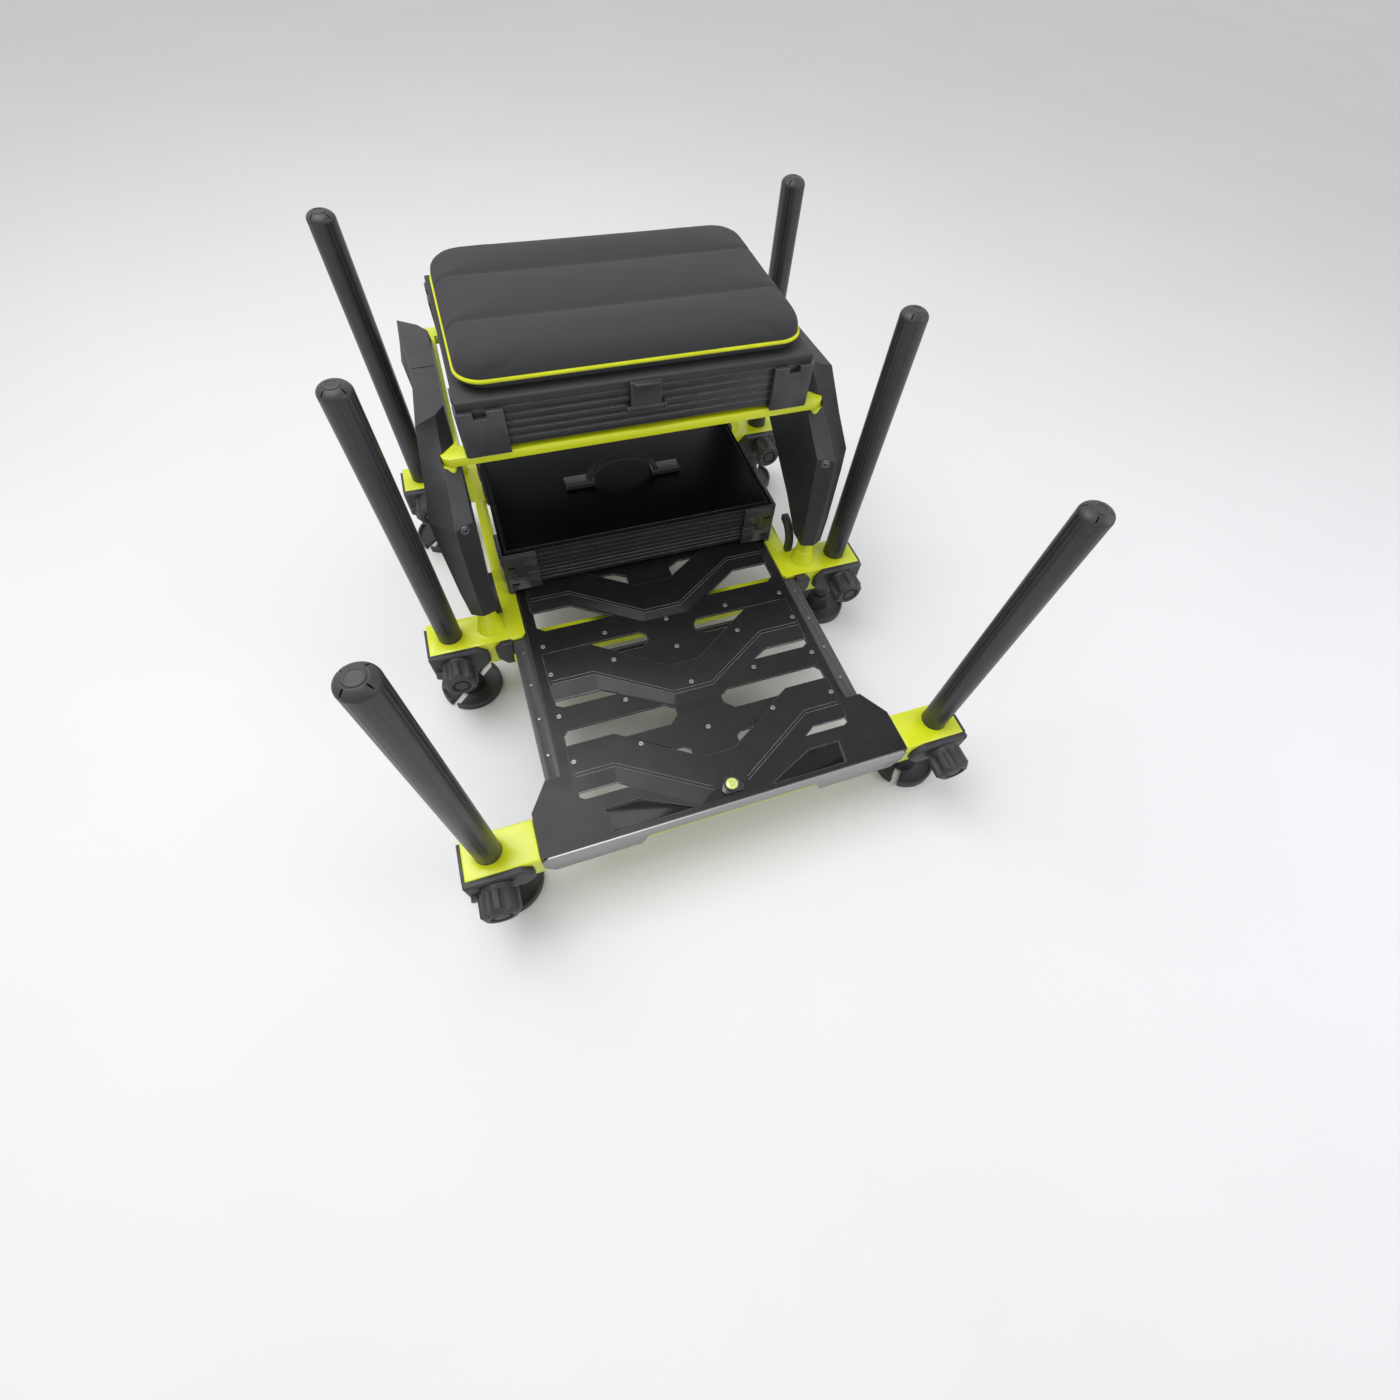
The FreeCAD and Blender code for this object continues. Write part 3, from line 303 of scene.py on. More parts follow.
def smooth(piece, degrees=35.0):
    alone(piece)
    bpy.ops.object.shade_smooth_by_angle(angle=math.radians(degrees))


def copy_of(node, name):
    """A copy of a CAD node's mesh as a piece of its own, merged into clean faces."""
    piece = bpy.data.objects.new(name, frame["nodes"][node].data.copy())
    bpy.context.scene.collection.objects.link(piece)
    piece.data.materials.clear()
    alone(piece)
    bpy.ops.mesh.customdata_custom_splitnormals_clear()
    bpy.ops.object.mode_set(mode="EDIT")
    bpy.ops.mesh.select_all(action="SELECT")
    bpy.ops.mesh.remove_doubles(threshold=MERGE * MM)
    bpy.ops.object.mode_set(mode="OBJECT")
    return piece


def area(piece):
    return sum(face.area for face in piece.data.polygons)


def soften(piece, width, sharper=28.0, clamp=True, shade=35.0):
    """Round edges that turn by more than sharper degrees, shade smooth below shade degrees."""
    before = area(piece)
    modify(piece, "BEVEL", width=width, segments=2, limit_method="ANGLE",
           angle_limit=math.radians(sharper), use_clamp_overlap=clamp, loop_slide=False,
           miter_outer="MITER_ARC", harden_normals=False)
    if not SOFT_AREA[0] < area(piece) / before < SOFT_AREA[1]:
        raise RuntimeError(f"{piece.name}: its rounded edges changed its area too much")
    smooth(piece, shade)
    return piece


def hold(piece, node, material, replaces=True):
    """Dress a piece, let it ride with the node's body and stand for the node."""
    piece.data.materials.clear()
    piece.data.materials.append(material)
    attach(piece, frame["nodes"][node]["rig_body"])
    if replaces:
        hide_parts(node)
    return piece


def softened(node, width, slot, material, **how):
    piece = soften(copy_of(node, node + "_soft"), width, **how)
    return hold(piece, node, material)


def span(node):
    """The lowest and highest corner of a CAD node's box."""
    solid_part = frame["nodes"][node]
    corners = [solid_part.matrix_world @ Vector(corner) for corner in solid_part.bound_box]
    return (Vector([min(corner[i] for corner in corners) for i in range(3)]),
            Vector([max(corner[i] for corner in corners) for i in range(3)]))


def joined(name, pieces):
    """Several pieces as one."""
    alone(*pieces)
    if len(pieces) > 1:
        bpy.ops.object.join()
    bpy.context.object.name = name
    return bpy.context.object


def turned_to(direction):
    return Vector(direction).to_track_quat("Z", "Y").to_euler()


def drum(name, centre, direction, radius, depth, edge=0.0, sides=40):
    """A short round piece whose axis points along direction, its edges rounded."""
    bpy.ops.mesh.primitive_cylinder_add(vertices=sides, radius=radius, depth=depth, location=centre,
                                        rotation=turned_to(direction))
    piece = placed(name)
    if edge:
        modify(piece, "BEVEL", width=edge, segments=3, limit_method="ANGLE",
               angle_limit=math.radians(50))
    smooth(piece, 40.0)
    return piece


def hoop(name, centre, direction, radius, thickness):
    """A thin ring whose axis points along direction; thickness is the radius of its section."""
    bpy.ops.mesh.primitive_torus_add(location=centre, rotation=turned_to(direction),
                                     major_radius=radius, minor_radius=thickness,
                                     major_segments=48, minor_segments=10)
    piece = placed(name)
    smooth(piece, 60.0)
    return piece


def prism(name, outline, low, high, edge=0.0):
    """An upright prism over an outline of (x, y) corners, its edges rounded."""
    shape = bmesh.new()
    floor = shape.faces.new([shape.verts.new((x, y, low)) for x, y in outline])
    for corner in bmesh.ops.extrude_face_region(shape, geom=[floor])["geom"]:
        if isinstance(corner, bmesh.types.BMVert):
            corner.co.z = high
    bmesh.ops.recalc_face_normals(shape, faces=shape.faces)
    mesh = bpy.data.meshes.new(name)
    shape.to_mesh(mesh)
    shape.free()
    piece = bpy.data.objects.new(name, mesh)
    bpy.context.scene.collection.objects.link(piece)
    if edge:
        modify(piece, "BEVEL", width=edge, segments=2, limit_method="ANGLE",
               angle_limit=math.radians(30))
    smooth(piece)
    return piece


def add_on(piece, node, material):
    """A piece that is added on a node which stays."""
    return hold(piece, node, material, replaces=False)


def dress(node, material):
    """Give a CAD node that stays as it is a better finish."""
    for place in frame["nodes"][node].material_slots:
        place.material = material


def placed(name):
    """Name the primitive that was just added, and put its place in its mesh."""
    piece = bpy.context.object
    piece.name = name
    piece.data.name = name
    bpy.ops.object.transform_apply(location=True, rotation=True, scale=True)
    return piece


# Building node trees


class Net:
    """Short calls for wiring one node tree."""

    def __init__(self, tree):
        self.tree = tree

    def node(self, kind, **values):
        made = self.tree.nodes.new(kind)
        for key, value in values.items():
            setattr(made, key, value)
        return made

    def feed(self, source, target):
        if isinstance(source, bpy.types.NodeSocket):
            self.tree.links.new(source, target)
        else:
            target.default_value = source

    def math(self, operation, first, second=0.0, clamp=False):
        made = self.node("ShaderNodeMath", operation=operation, use_clamp=clamp)
        self.feed(first, made.inputs[0])
        self.feed(second, made.inputs[1])
        return made.outputs[0]

    def blend(self, share, first, second):
        made = self.node("ShaderNodeMix", data_type="RGBA")
        self.feed(share, made.inputs[0])
        self.feed(first, made.inputs[MIX_FIRST])
        self.feed(second, made.inputs[MIX_SECOND])
        return made.outputs[MIX_RESULT]

    def spread(self, value, low, high, to_low=0.0, to_high=1.0):
        made = self.node("ShaderNodeMapRange", clamp=True)
        for socket, number in zip(made.inputs, (value, low, high, to_low, to_high)):
            self.feed(number, socket)
        return made.outputs[0]

    def place(self):
        return self.node("ShaderNodeTexCoord").outputs["Object"]

    def noise(self, place, scale, detail=2.0):
        made = self.node("ShaderNodeTexNoise")
        self.feed(place, made.inputs["Vector"])
        self.feed(scale, made.inputs["Scale"])
        made.inputs["Detail"].default_value = detail
        return made.outputs["Fac"]

    def parts(self, vector):
        made = self.node("ShaderNodeSeparateXYZ")
        self.feed(vector, made.inputs[0])
        return made.outputs


def effect(name, inputs, outputs, build):
    """A shared node group, made once: inputs and outputs are (label, socket type, default)."""
    tree = bpy.data.node_groups.get(name)
    if tree is None:
        tree = bpy.data.node_groups.new(name, "ShaderNodeTree")
        for label, kind, default in inputs:
            socket = tree.interface.new_socket(name=label, in_out="INPUT", socket_type=kind)
            socket.default_value = default
        for label, kind in outputs:
            tree.interface.new_socket(name=label, in_out="OUTPUT", socket_type=kind)
        build(Net(tree), tree.nodes.new("NodeGroupInput").outputs,
              tree.nodes.new("NodeGroupOutput").inputs)
    return tree


def grain_effect():
    """Fine unevenness of a coat or a moulding, as a height."""
    def build(net, given, made):
        cloud = net.noise(net.place(), net.math("DIVIDE", 1.0, given["Size"]), 3.0)
        net.feed(net.math("MULTIPLY", cloud, given["Depth"]), made["Height"])
    return effect("Fine grain",
                  [("Size", "NodeSocketFloat", 0.001), ("Depth", "NodeSocketFloat", 0.00001)],
                  [("Height", "NodeSocketFloat")], build)


def drift_effect():
    """Slow change of tone over a surface, and the patches that it follows."""
    def build(net, given, made):
        cloud = net.noise(net.place(), net.math("DIVIDE", 1.0, given["Size"]), 4.0)
        patch = net.spread(cloud, 0.35, 0.65)
        shade = net.math("SUBTRACT", 1.0, net.math("MULTIPLY", patch, given["Amount"]))
        dark = net.node("ShaderNodeMix", data_type="RGBA", blend_type="MULTIPLY")
        dark.inputs[0].default_value = 1.0
        net.feed(given["Color"], dark.inputs[MIX_FIRST])
        grey = net.node("ShaderNodeCombineColor")
        for socket in grey.inputs:
            net.feed(shade, socket)
        net.feed(grey.outputs[0], dark.inputs[MIX_SECOND])
        net.feed(dark.outputs[MIX_RESULT], made["Color"])
        net.feed(patch, made["Patch"])
    return effect("Colour drift",
                  [("Color", "NodeSocketColor", GREY), ("Amount", "NodeSocketFloat", 0.1),
                   ("Size", "NodeSocketFloat", 0.06)],
                  [("Color", "NodeSocketColor"), ("Patch", "NodeSocketFloat")], build)


def wear_and_highlight_effect():
    """Paler places along edges: worn spots, and on some coats painted highlight on the edges."""
    def build(net, given, made):
        soft = net.node("ShaderNodeBevel", samples=4)
        net.feed(given["Width"], soft.inputs["Radius"])
        flat = net.node("ShaderNodeNewGeometry")
        same = net.node("ShaderNodeVectorMath", operation="DOT_PRODUCT")
        net.feed(soft.outputs[0], same.inputs[0])
        net.feed(flat.outputs["Normal"], same.inputs[1])
        edge = net.spread(same.outputs["Value"], 0.995, 0.88)
        break_up = net.spread(net.noise(net.place(), 90.0, 5.0), 0.25, 0.55, 0.35)
        patch = net.math("MULTIPLY", edge, break_up)
        mask = net.math("MULTIPLY", patch, given["Amount"], clamp=True)
        net.feed(net.blend(mask, given["Color"], given["Worn"]), made["Color"])
        net.feed(mask, made["Mask"])
    return effect("Edge wear and highlight",
                  [("Color", "NodeSocketColor", GREY), ("Worn", "NodeSocketColor", GREY),
                   ("Width", "NodeSocketFloat", 0.001), ("Amount", "NodeSocketFloat", 0.3)],
                  [("Color", "NodeSocketColor"), ("Mask", "NodeSocketFloat")], build)


def dust_effect():
    """Dust lying on what faces up."""
    def build(net, given, made):
        up = net.parts(net.node("ShaderNodeNewGeometry").outputs["Normal"])[2]
        lying = net.spread(up, 0.3, 0.95)
        cloud = net.spread(net.noise(net.place(), 34.0, 7.0), 0.45, 0.75)
        patch = net.math("MULTIPLY", lying, cloud)
        mask = net.math("MULTIPLY", patch, given["Amount"], clamp=True)
        net.feed(net.blend(mask, given["Color"], DUST_COLOUR), made["Color"])
        net.feed(mask, made["Mask"])
    return effect("Settled dust",
                  [("Color", "NodeSocketColor", GREY), ("Amount", "NodeSocketFloat", 0.05)],
                  [("Color", "NodeSocketColor"), ("Mask", "NodeSocketFloat")], build)


def weave_effect():
    """Crossing threads of a woven cover."""
    def build(net, given, made):
        x, y, z = net.parts(net.place())
        pitch = given["Pitch"]
        across = net.math("ADD", x, net.math("MULTIPLY", z, 0.7))
        along = net.math("ADD", y, net.math("MULTIPLY", z, 0.7))
        waves = []
        for value, shift in ((across, 0.0), (along, math.pi / 2)):
            turn = net.math("DIVIDE", net.math("MULTIPLY", value, 2 * math.pi), pitch)
            waves.append(net.math("SINE", net.math("ADD", turn, shift)))
        cross = net.math("MULTIPLY", waves[0], waves[1])
        threads = net.math("ADD", net.math("MULTIPLY", cross, 0.5), 0.5)
        net.feed(net.math("MULTIPLY", threads, given["Depth"]), made["Height"])
        net.feed(threads, made["Threads"])
    return effect("Weave",
                  [("Pitch", "NodeSocketFloat", 0.0014), ("Depth", "NodeSocketFloat", 0.0002)],
                  [("Height", "NodeSocketFloat"), ("Threads", "NodeSocketFloat")], build)


def use(net, tree, **values):
    """Place a shared effect in a material with its own values."""
    made = net.node("ShaderNodeGroup", node_tree=tree)
    for key, value in values.items():
        net.feed(value, made.inputs[key.replace("_", " ")])
    return made.outputs


def solid(colour):
    return (*colour, 1.0)


def finish(name, colour, roughness, grain=(0.0006, 0.000006), drift=(0.10, 0.05), worn_and_highlit=None,
           wear_and_highlight=0.0, wear_and_highlight_width=0.0012, dust=0.0, rough_patch=0.06, round_edge=0.0, extra=None,
           **shader):
    """One finish, made once: drifting tone, fine grain, paler edges for wear and painted highlight,
    and settled dust.

    Grain is (size, depth) and drift is (amount, size), with sizes in metres. Extra may change
    the colour, roughness and height. What else is named goes to the shader's own sockets.
    """
    material = bpy.data.materials.get(name)
    if material is not None:
        return material
    material = bpy.data.materials.new(name)
    material.use_nodes = True
    tree = material.node_tree
    net = Net(tree)
    surface = tree.nodes["Principled BSDF"]
    toned = use(net, drift_effect(), Color=solid(colour), Amount=drift[0], Size=drift[1])
    shown = toned["Color"]
    rough = net.spread(toned["Patch"], 0.0, 1.0, roughness - rough_patch / 2,
                       roughness + rough_patch / 2)
    # Paler edges: wear, and for some coats painted highlight.
    if wear_and_highlight:
        shown = use(net, wear_and_highlight_effect(), Color=shown, Worn=solid(worn_and_highlit), Width=wear_and_highlight_width,
                    Amount=wear_and_highlight)["Color"]
    if dust:
        dusty = use(net, dust_effect(), Color=shown, Amount=dust)
        shown = dusty["Color"]
        rough = net.math("ADD", rough, net.math("MULTIPLY", dusty["Mask"], 0.5), clamp=True)
    height = use(net, grain_effect(), Size=grain[0], Depth=grain[1])["Height"]
    if extra is not None:
        shown, rough, height = extra(net, shown, rough, height)
    bump = net.node("ShaderNodeBump")
    bump.inputs["Distance"].default_value = 1.0
    bump.inputs["Strength"].default_value = 1.0
    net.feed(height, bump.inputs["Height"])
    if round_edge:
        rounded = net.node("ShaderNodeBevel", samples=4)
        rounded.inputs["Radius"].default_value = round_edge
        net.feed(rounded.outputs[0], bump.inputs["Normal"])
    net.feed(bump.outputs["Normal"], surface.inputs["Normal"])
    net.feed(shown, surface.inputs["Base Color"])
    net.feed(rough, surface.inputs["Roughness"])
    for key, value in shader.items():
        surface.inputs[key.replace("_", " ")].default_value = value
    return material


# The finishes of this box


def lime_coat():
    return finish("lime_powder_coat", finishes().lime, 0.34, grain=(0.0016, 0.000010),
                  drift=(0.07, 0.09), worn_and_highlit=(0.80, 0.86, 0.30), wear_and_highlight=0.45, round_edge=0.0010,
                  Coat_Weight=0.35, Coat_Roughness=0.18)


def black_moulding():
    return finish("black_moulding", finishes().plastic, 0.46, grain=(0.00045, 0.000016),
                  drift=(0.22, 0.04), worn_and_highlit=(0.16, 0.16, 0.17), wear_and_highlight=0.55, dust=0.05,
                  round_edge=0.0010)


def corner_plastic():
    return finish("corner_plastic", (0.052, 0.052, 0.058), 0.30, grain=(0.0005, 0.000010),
                  drift=(0.2, 0.05), worn_and_highlit=(0.22, 0.22, 0.23), wear_and_highlight=0.6, dust=0.02,
                  round_edge=0.0010)


def knob_plastic():
    return finish("knob_plastic", finishes().plastic, 0.52, grain=(0.0004, 0.000020),
                  drift=(0.20, 0.03), worn_and_highlit=(0.20, 0.20, 0.21), wear_and_highlight=0.6, dust=0.04)


def leg_coat():
    return finish("leg_anodised", finishes().leg, 0.36, grain=(0.0010, 0.000004),
                  drift=(0.25, 0.12), worn_and_highlit=(0.22, 0.22, 0.23), wear_and_highlight=0.3, Metallic=0.35,
                  Coat_Weight=0.10)


# The deck's paler edges are partly wear and partly painted highlight along the raised bands.
def deck_coat():
    return finish("deck_coat", finishes().deck, 0.34, grain=(0.0011, 0.000010), drift=(0.25, 0.07),
                  worn_and_highlit=(0.32, 0.32, 0.33), wear_and_highlight=0.8, dust=0.015, Specular_IOR_Level=0.30)


# Paler coat of the band strips: painted highlight on the ridges and their fine second edges.
def painted_deck_highlight():
    return finish("painted_deck_highlight", finishes().rail, 0.30, grain=(0.0008, 0.000006),
                  drift=(0.25, 0.05), worn_and_highlit=(0.40, 0.40, 0.41), wear_and_highlight=0.8, wear_and_highlight_width=0.0008)


def rail_coat():
    return finish("rail_coat", finishes().rail, 0.42, grain=(0.0008, 0.000008),
                  drift=(0.18, 0.06), worn_and_highlit=(0.30, 0.30, 0.31), wear_and_highlight=0.5, dust=0.04)


def fascia_paint():
    return finish("fascia_paint", finishes().fascia, 0.40, grain=(0.0007, 0.000008),
                  drift=(0.12, 0.05), worn_and_highlit=(0.60, 0.60, 0.61), wear_and_highlight=0.5, Metallic=0.25)


# The walls' paler edges are partly wear and partly painted highlight lines along the grooves.
def case_wall_coat():
    return finish("case_wall", finishes().case_wall, 0.36, grain=(0.0009, 0.000006),
                  drift=(0.15, 0.08), worn_and_highlit=(0.32, 0.32, 0.33), wear_and_highlight=0.8, Metallic=0.2)


def case_lid_coat():
    """The walls' coat, with the black panel on what faces up."""
    def panel(net, shown, rough, height):
        up = net.parts(net.node("ShaderNodeNewGeometry").outputs["Normal"])[2]
        top = net.spread(up, 0.85, 0.95)
        return net.blend(top, shown, solid(finishes().case_gloss)), rough, height
    # Paler edges as on the walls: partly wear, partly painted highlight lines along the grooves.
    return finish("case_lid", finishes().case_wall, 0.36, grain=(0.0009, 0.000005),
                  drift=(0.15, 0.08), worn_and_highlit=(0.32, 0.32, 0.33), wear_and_highlight=0.8, extra=panel,
                  Specular_IOR_Level=0.05)


def screw_steel():
    return finish("screw_steel", finishes().steel, 0.42, grain=(0.0005, 0.000008),
                  drift=(0.3, 0.01), Specular_IOR_Level=0.4)


def pin_steel():
    return finish("pin_steel", (0.50, 0.50, 0.51), 0.28, grain=(0.0005, 0.000004), Metallic=1.0)


def strap_rubber():
    return finish("strap_rubber", (0.040, 0.040, 0.043), 0.45, grain=(0.0005, 0.000020),
                  drift=(0.2, 0.02), worn_and_highlit=(0.16, 0.16, 0.16), wear_and_highlight=0.5, dust=0.02)


def board_plastic():
    return finish("seat_board", (0.020, 0.020, 0.022), 0.42, grain=(0.0007, 0.000014),
                  drift=(0.2, 0.05), worn_and_highlit=(0.12, 0.12, 0.12), wear_and_highlight=0.5)


def gloss_black():
    return finish("gloss_black", (0.008, 0.008, 0.010), 0.16, grain=(0.0010, 0.000003),
                  drift=(0.2, 0.03), rough_patch=0.04, Specular_IOR_Level=0.22)


def level_cup():
    return finish("level_cup", (0.012, 0.012, 0.013), 0.22, grain=(0.0006, 0.000003),
                  worn_and_highlit=(0.2, 0.2, 0.2), wear_and_highlight=0.4, Coat_Weight=0.3)


def level_fluid():
    return finish("level_fluid", finishes().level, 0.10, grain=(0.004, 0.000004),
                  drift=(0.06, 0.006), rough_patch=0.02, Coat_Weight=1.0, Coat_Roughness=0.03)


def woven(name, colour, pitch, depth, sheen):
    """A woven fabric, its raised threads paler."""
    def threads(net, shown, rough, height):
        made = use(net, weave_effect(), Pitch=pitch, Depth=depth)
        lifted = net.blend(net.math("MULTIPLY", made["Threads"], 0.55), shown,
                           solid([min(1.0, c * 2.6 + 0.006) for c in colour]))
        return lifted, rough, net.math("ADD", made["Height"], height)
    return finish(name, colour, 0.82, grain=(0.0012, 0.00006), drift=(0.25, 0.05), extra=threads,
                  rough_patch=0.08, Sheen_Weight=sheen, Sheen_Roughness=0.45,
                  Specular_IOR_Level=0.3)


def seat_fabric():
    return woven("seat_fabric", finishes().fabric, 0.0022, 0.00022, 0.35)


def piping_fabric():
    return woven("piping_fabric", finishes().piping, 0.0014, 0.00010, 0.15)


# Operators, one for each group of pieces


class SEATBOX_OT_frame(Operator):
    """Castings, rails, tubes and clips of the lower frame, and the ring under the seat"""
    bl_idname = "seatbox.frame"
    bl_label = "Frame"

    def execute(self, context):
        edge, plate, mould = sizes().casting_edge, sizes().plate_edge, sizes().moulding_edge
        for corner in CORNERS:
            softened(corner + "_corner", edge, "lime_paint", lime_coat())
        for node in ("side_rails", "upper_frame", "cross_tubes"):
            softened(node, plate, "lime_paint", lime_coat(), clamp=False)
        for node in ("rail_guides", "case_clips", "clamp_covers"):
            softened(node, mould, "moulded_plastic", black_moulding())
        return {"FINISHED"}


class SEATBOX_OT_covers(Operator):
    """Faceted black covers round the four posts, each with its screw"""
    bl_idname = "seatbox.covers"
    bl_label = "Post covers"

    def execute(self, context):
        middle = sum((span(row + "_right_cover")[0].y + span(row + "_right_cover")[1].y)
                     for row in ("front", "rear")) / 4
        for corner in CORNERS:
            node = corner + "_cover"
            softened(node, COVER_EDGE * MM, "moulded_plastic", black_moulding(),
                     sharper=12.0, shade=9.0)
            side = 1.0 if corner.endswith("right") else -1.0
            end = -1.0 if corner.startswith("front") else 1.0
            towards = Vector((-side * COVER_FACET[0], end * COVER_FACET[1], COVER_FACET[2]))
            towards.normalize()
            reach = middle + end * COVER_SCREW_REACH * MM
            centre = Vector((side * COVER_SCREW_X * MM, reach, COVER_SCREW_Z * MM))
            head = [drum("head", centre + towards * COVER_HEAD_RISE * MM, towards, *mm(COVER_HEAD)),
                    hoop("seat", centre + towards * COVER_SEAT_RISE * MM, towards, *mm(COVER_SEAT))]
            # The socket is a dark gloss hexagon standing on the head: painted shade for the recess.
            socket = drum("socket", centre + towards * COVER_SOCKET_SHADE_RISE * MM, towards,
                          *mm(COVER_SOCKET_SHADE), sides=6)
            add_on(joined(node + "_screw", head), node, screw_steel())
            add_on(socket, node, gloss_black()).name = node + "_socket"
        return {"FINISHED"}


class SEATBOX_OT_footplate(Operator):
    """Deck panel, channel rails, beam, fascia, front blocks and their covers"""
    bl_idname = "seatbox.footplate"
    bl_label = "Footplate"

    def execute(self, context):
        edge, plate, mould = sizes().casting_edge, sizes().plate_edge, sizes().moulding_edge
        softened("deck_panel", DECK_EDGE * MM, "deck_coating", deck_coat(), sharper=5.0,
                 clamp=False, shade=4.0)
        softened("deck_rails", plate, "rail_coating", rail_coat(), clamp=False)
        softened("front_beam", edge, "lime_paint", lime_coat(), clamp=False)
        softened("fascia", plate, "fascia_paint", fascia_paint())
        for side, _ in SIDES:
            softened(side + "_front_block", edge, "lime_paint", lime_coat())
        softened("front_clamp_covers", mould, "moulded_plastic", black_moulding())
        softened("deck_screws", DECK_SCREW_EDGE * MM, "screw_steel", screw_steel())
        deck_highlight_strips()
        deck_fittings()
        spirit_level()
        return {"FINISHED"}


def from_front(points):
    """Points given in millimetres from the footplate's front edge, as in the part's source."""
    front = span("deck_panel")[0].y
    return [(x * MM, front + y * MM) for x, y in points]


def deck_highlight_strips():
    """The fine second edge pressed in behind the ridge of each raised band, and a strip on the
    ridge, both paler as painted highlights.
    """
    top = span("deck_panel")[1].z
    strips = []
    for index, (outer_y, knee_x, tip_x, tip_y) in enumerate(BAND_RIDGES):
        half = [(BAND_HALF, outer_y), (knee_x, outer_y), (tip_x, tip_y)]
        if index < len(BAND_RIDGES) - 1:
            lines = [half + [(-x, y) for x, y in reversed(half)]]
        else:
            lines = [half, [(-x, y) for x, y in reversed(half)]]
        for line in lines:
            for back, wide in BAND_HIGHLIGHT_LINES:
                near = [(x, y + back) for x, y in line]
                far = [(x, y + back + wide) for x, y in reversed(line)]
                strips.append(prism("strip", from_front(near + far), top - BAND_LINE_SUNK * MM,
                                    top + BAND_LINE_RISE * MM, FINE_EDGE * MM))
    # The strips' paler coat is painted highlight.
    add_on(joined("deck_band_highlight_strips", strips), "deck_panel", painted_deck_highlight())


def deck_fittings():
    """Glossy floors in the two front pockets, and the small screws along the rails."""
    deck_top = span("deck_panel")[1].z - BAND_RISE * MM
    floors = []
    for side in (1, -1):
        outline = from_front([(side * x, y) for x, y in POCKET_FLOOR])
        low, high = (deck_top - depth * MM for depth in POCKET_DEPTHS)
        floors.append(prism("floor_of_pocket", outline, low, high, FINE_EDGE * MM))
    add_on(joined("deck_pocket_floors", floors), "deck_panel", gloss_black())
    low, high = span("deck_rails")
    screws = []
    for side in (-1, 1):
        for step in range(RAIL_SCREWS):
            y = low.y + (high.y - low.y) * (step + 0.5) / RAIL_SCREWS
            spot = (side * RAIL_X * MM, y, high.z - RAIL_SCREW_SUNK * MM)
            screws.append(drum("screw", spot, UPWARD, *mm(RAIL_SCREW), sides=20))
    add_on(joined("rail_screws", screws), "deck_rails", screw_steel())


def spirit_level():
    """Bullseye level: a three-cornered base, a black cup, a rim and a pale domed vial."""
    dress("spirit_level", level_cup())
    low, high = span("spirit_level")
    y, top = (low.y + high.y) / 2, high.z
    corners = []
    for third in range(3):
        turn = math.radians(90 + 120 * third)
        for nudge in (-LEVEL_BASE_TURN, LEVEL_BASE_TURN):
            corners.append((LEVEL_BASE_R * MM * math.cos(turn + nudge),
                            y + LEVEL_BASE_R * MM * math.sin(turn + nudge)))
    base_top = low.z + BAND_RISE * MM + LEVEL_BASE_RISE * MM
    base = prism("base", corners, low.z - LEVEL_BASE_SUNK * MM, base_top, LEVEL_BASE_EDGE * MM)
    rim = hoop("rim", (0.0, y, top - LEVEL_RIM_SUNK * MM), UPWARD, *mm(LEVEL_RIM))
    add_on(joined("level_base", [base, rim]), "spirit_level", level_cup())
    bpy.ops.mesh.primitive_uv_sphere_add(segments=40, ring_count=20, radius=VIAL_R * MM,
                                         location=(0.0, y, top - VIAL_SUNK * MM),
                                         scale=(1.0, 1.0, VIAL_FLATNESS))
    vial = placed("level_vial")
    smooth(vial, 60.0)
    add_on(vial, "spirit_level", level_fluid())
    ring = hoop("level_mark", (0.0, y, top + LEVEL_MARK_RISE * MM), UPWARD, *mm(LEVEL_MARK))
    add_on(ring, "spirit_level", level_cup())


class SEATBOX_OT_legs(Operator):
    """Six fluted legs with their caps, clamp knobs and split feet"""
    bl_idname = "seatbox.legs"
    bl_label = "Legs"

    def execute(self, context):
        dome = cap_dome()
        for leg in LEGS:
            dress(leg + "_leg", leg_coat())
            ends_with_dome(leg, dome)
            softened(leg + "_foot", FOOT_EDGE * MM, "moulded_plastic", knob_plastic())
            softened(leg + "_knob", KNOB_EDGE * MM, "moulded_plastic", knob_plastic())
            knob_trim(leg + "_knob")
        bpy.data.objects.remove(dome)
        return {"FINISHED"}


def knob_trim(node):
    """The disc and two rings on a clamp knob's face."""
    low, high = span(node)
    face = Vector(((low.x + high.x) / 2, low.y, (low.z + high.z) / 2))
    trims = [drum("disc", face + Vector((0, KNOB_DISC_BACK * MM, 0)), FORWARD, *mm(KNOB_DISC))]
    for name, radius, thickness, back in KNOB_RINGS:
        spot = face + Vector((0, back * MM, 0))
        trims.append(hoop(name, spot, FORWARD, radius * MM, thickness * MM))
    add_on(joined(node + "_trim", trims), node, knob_plastic())


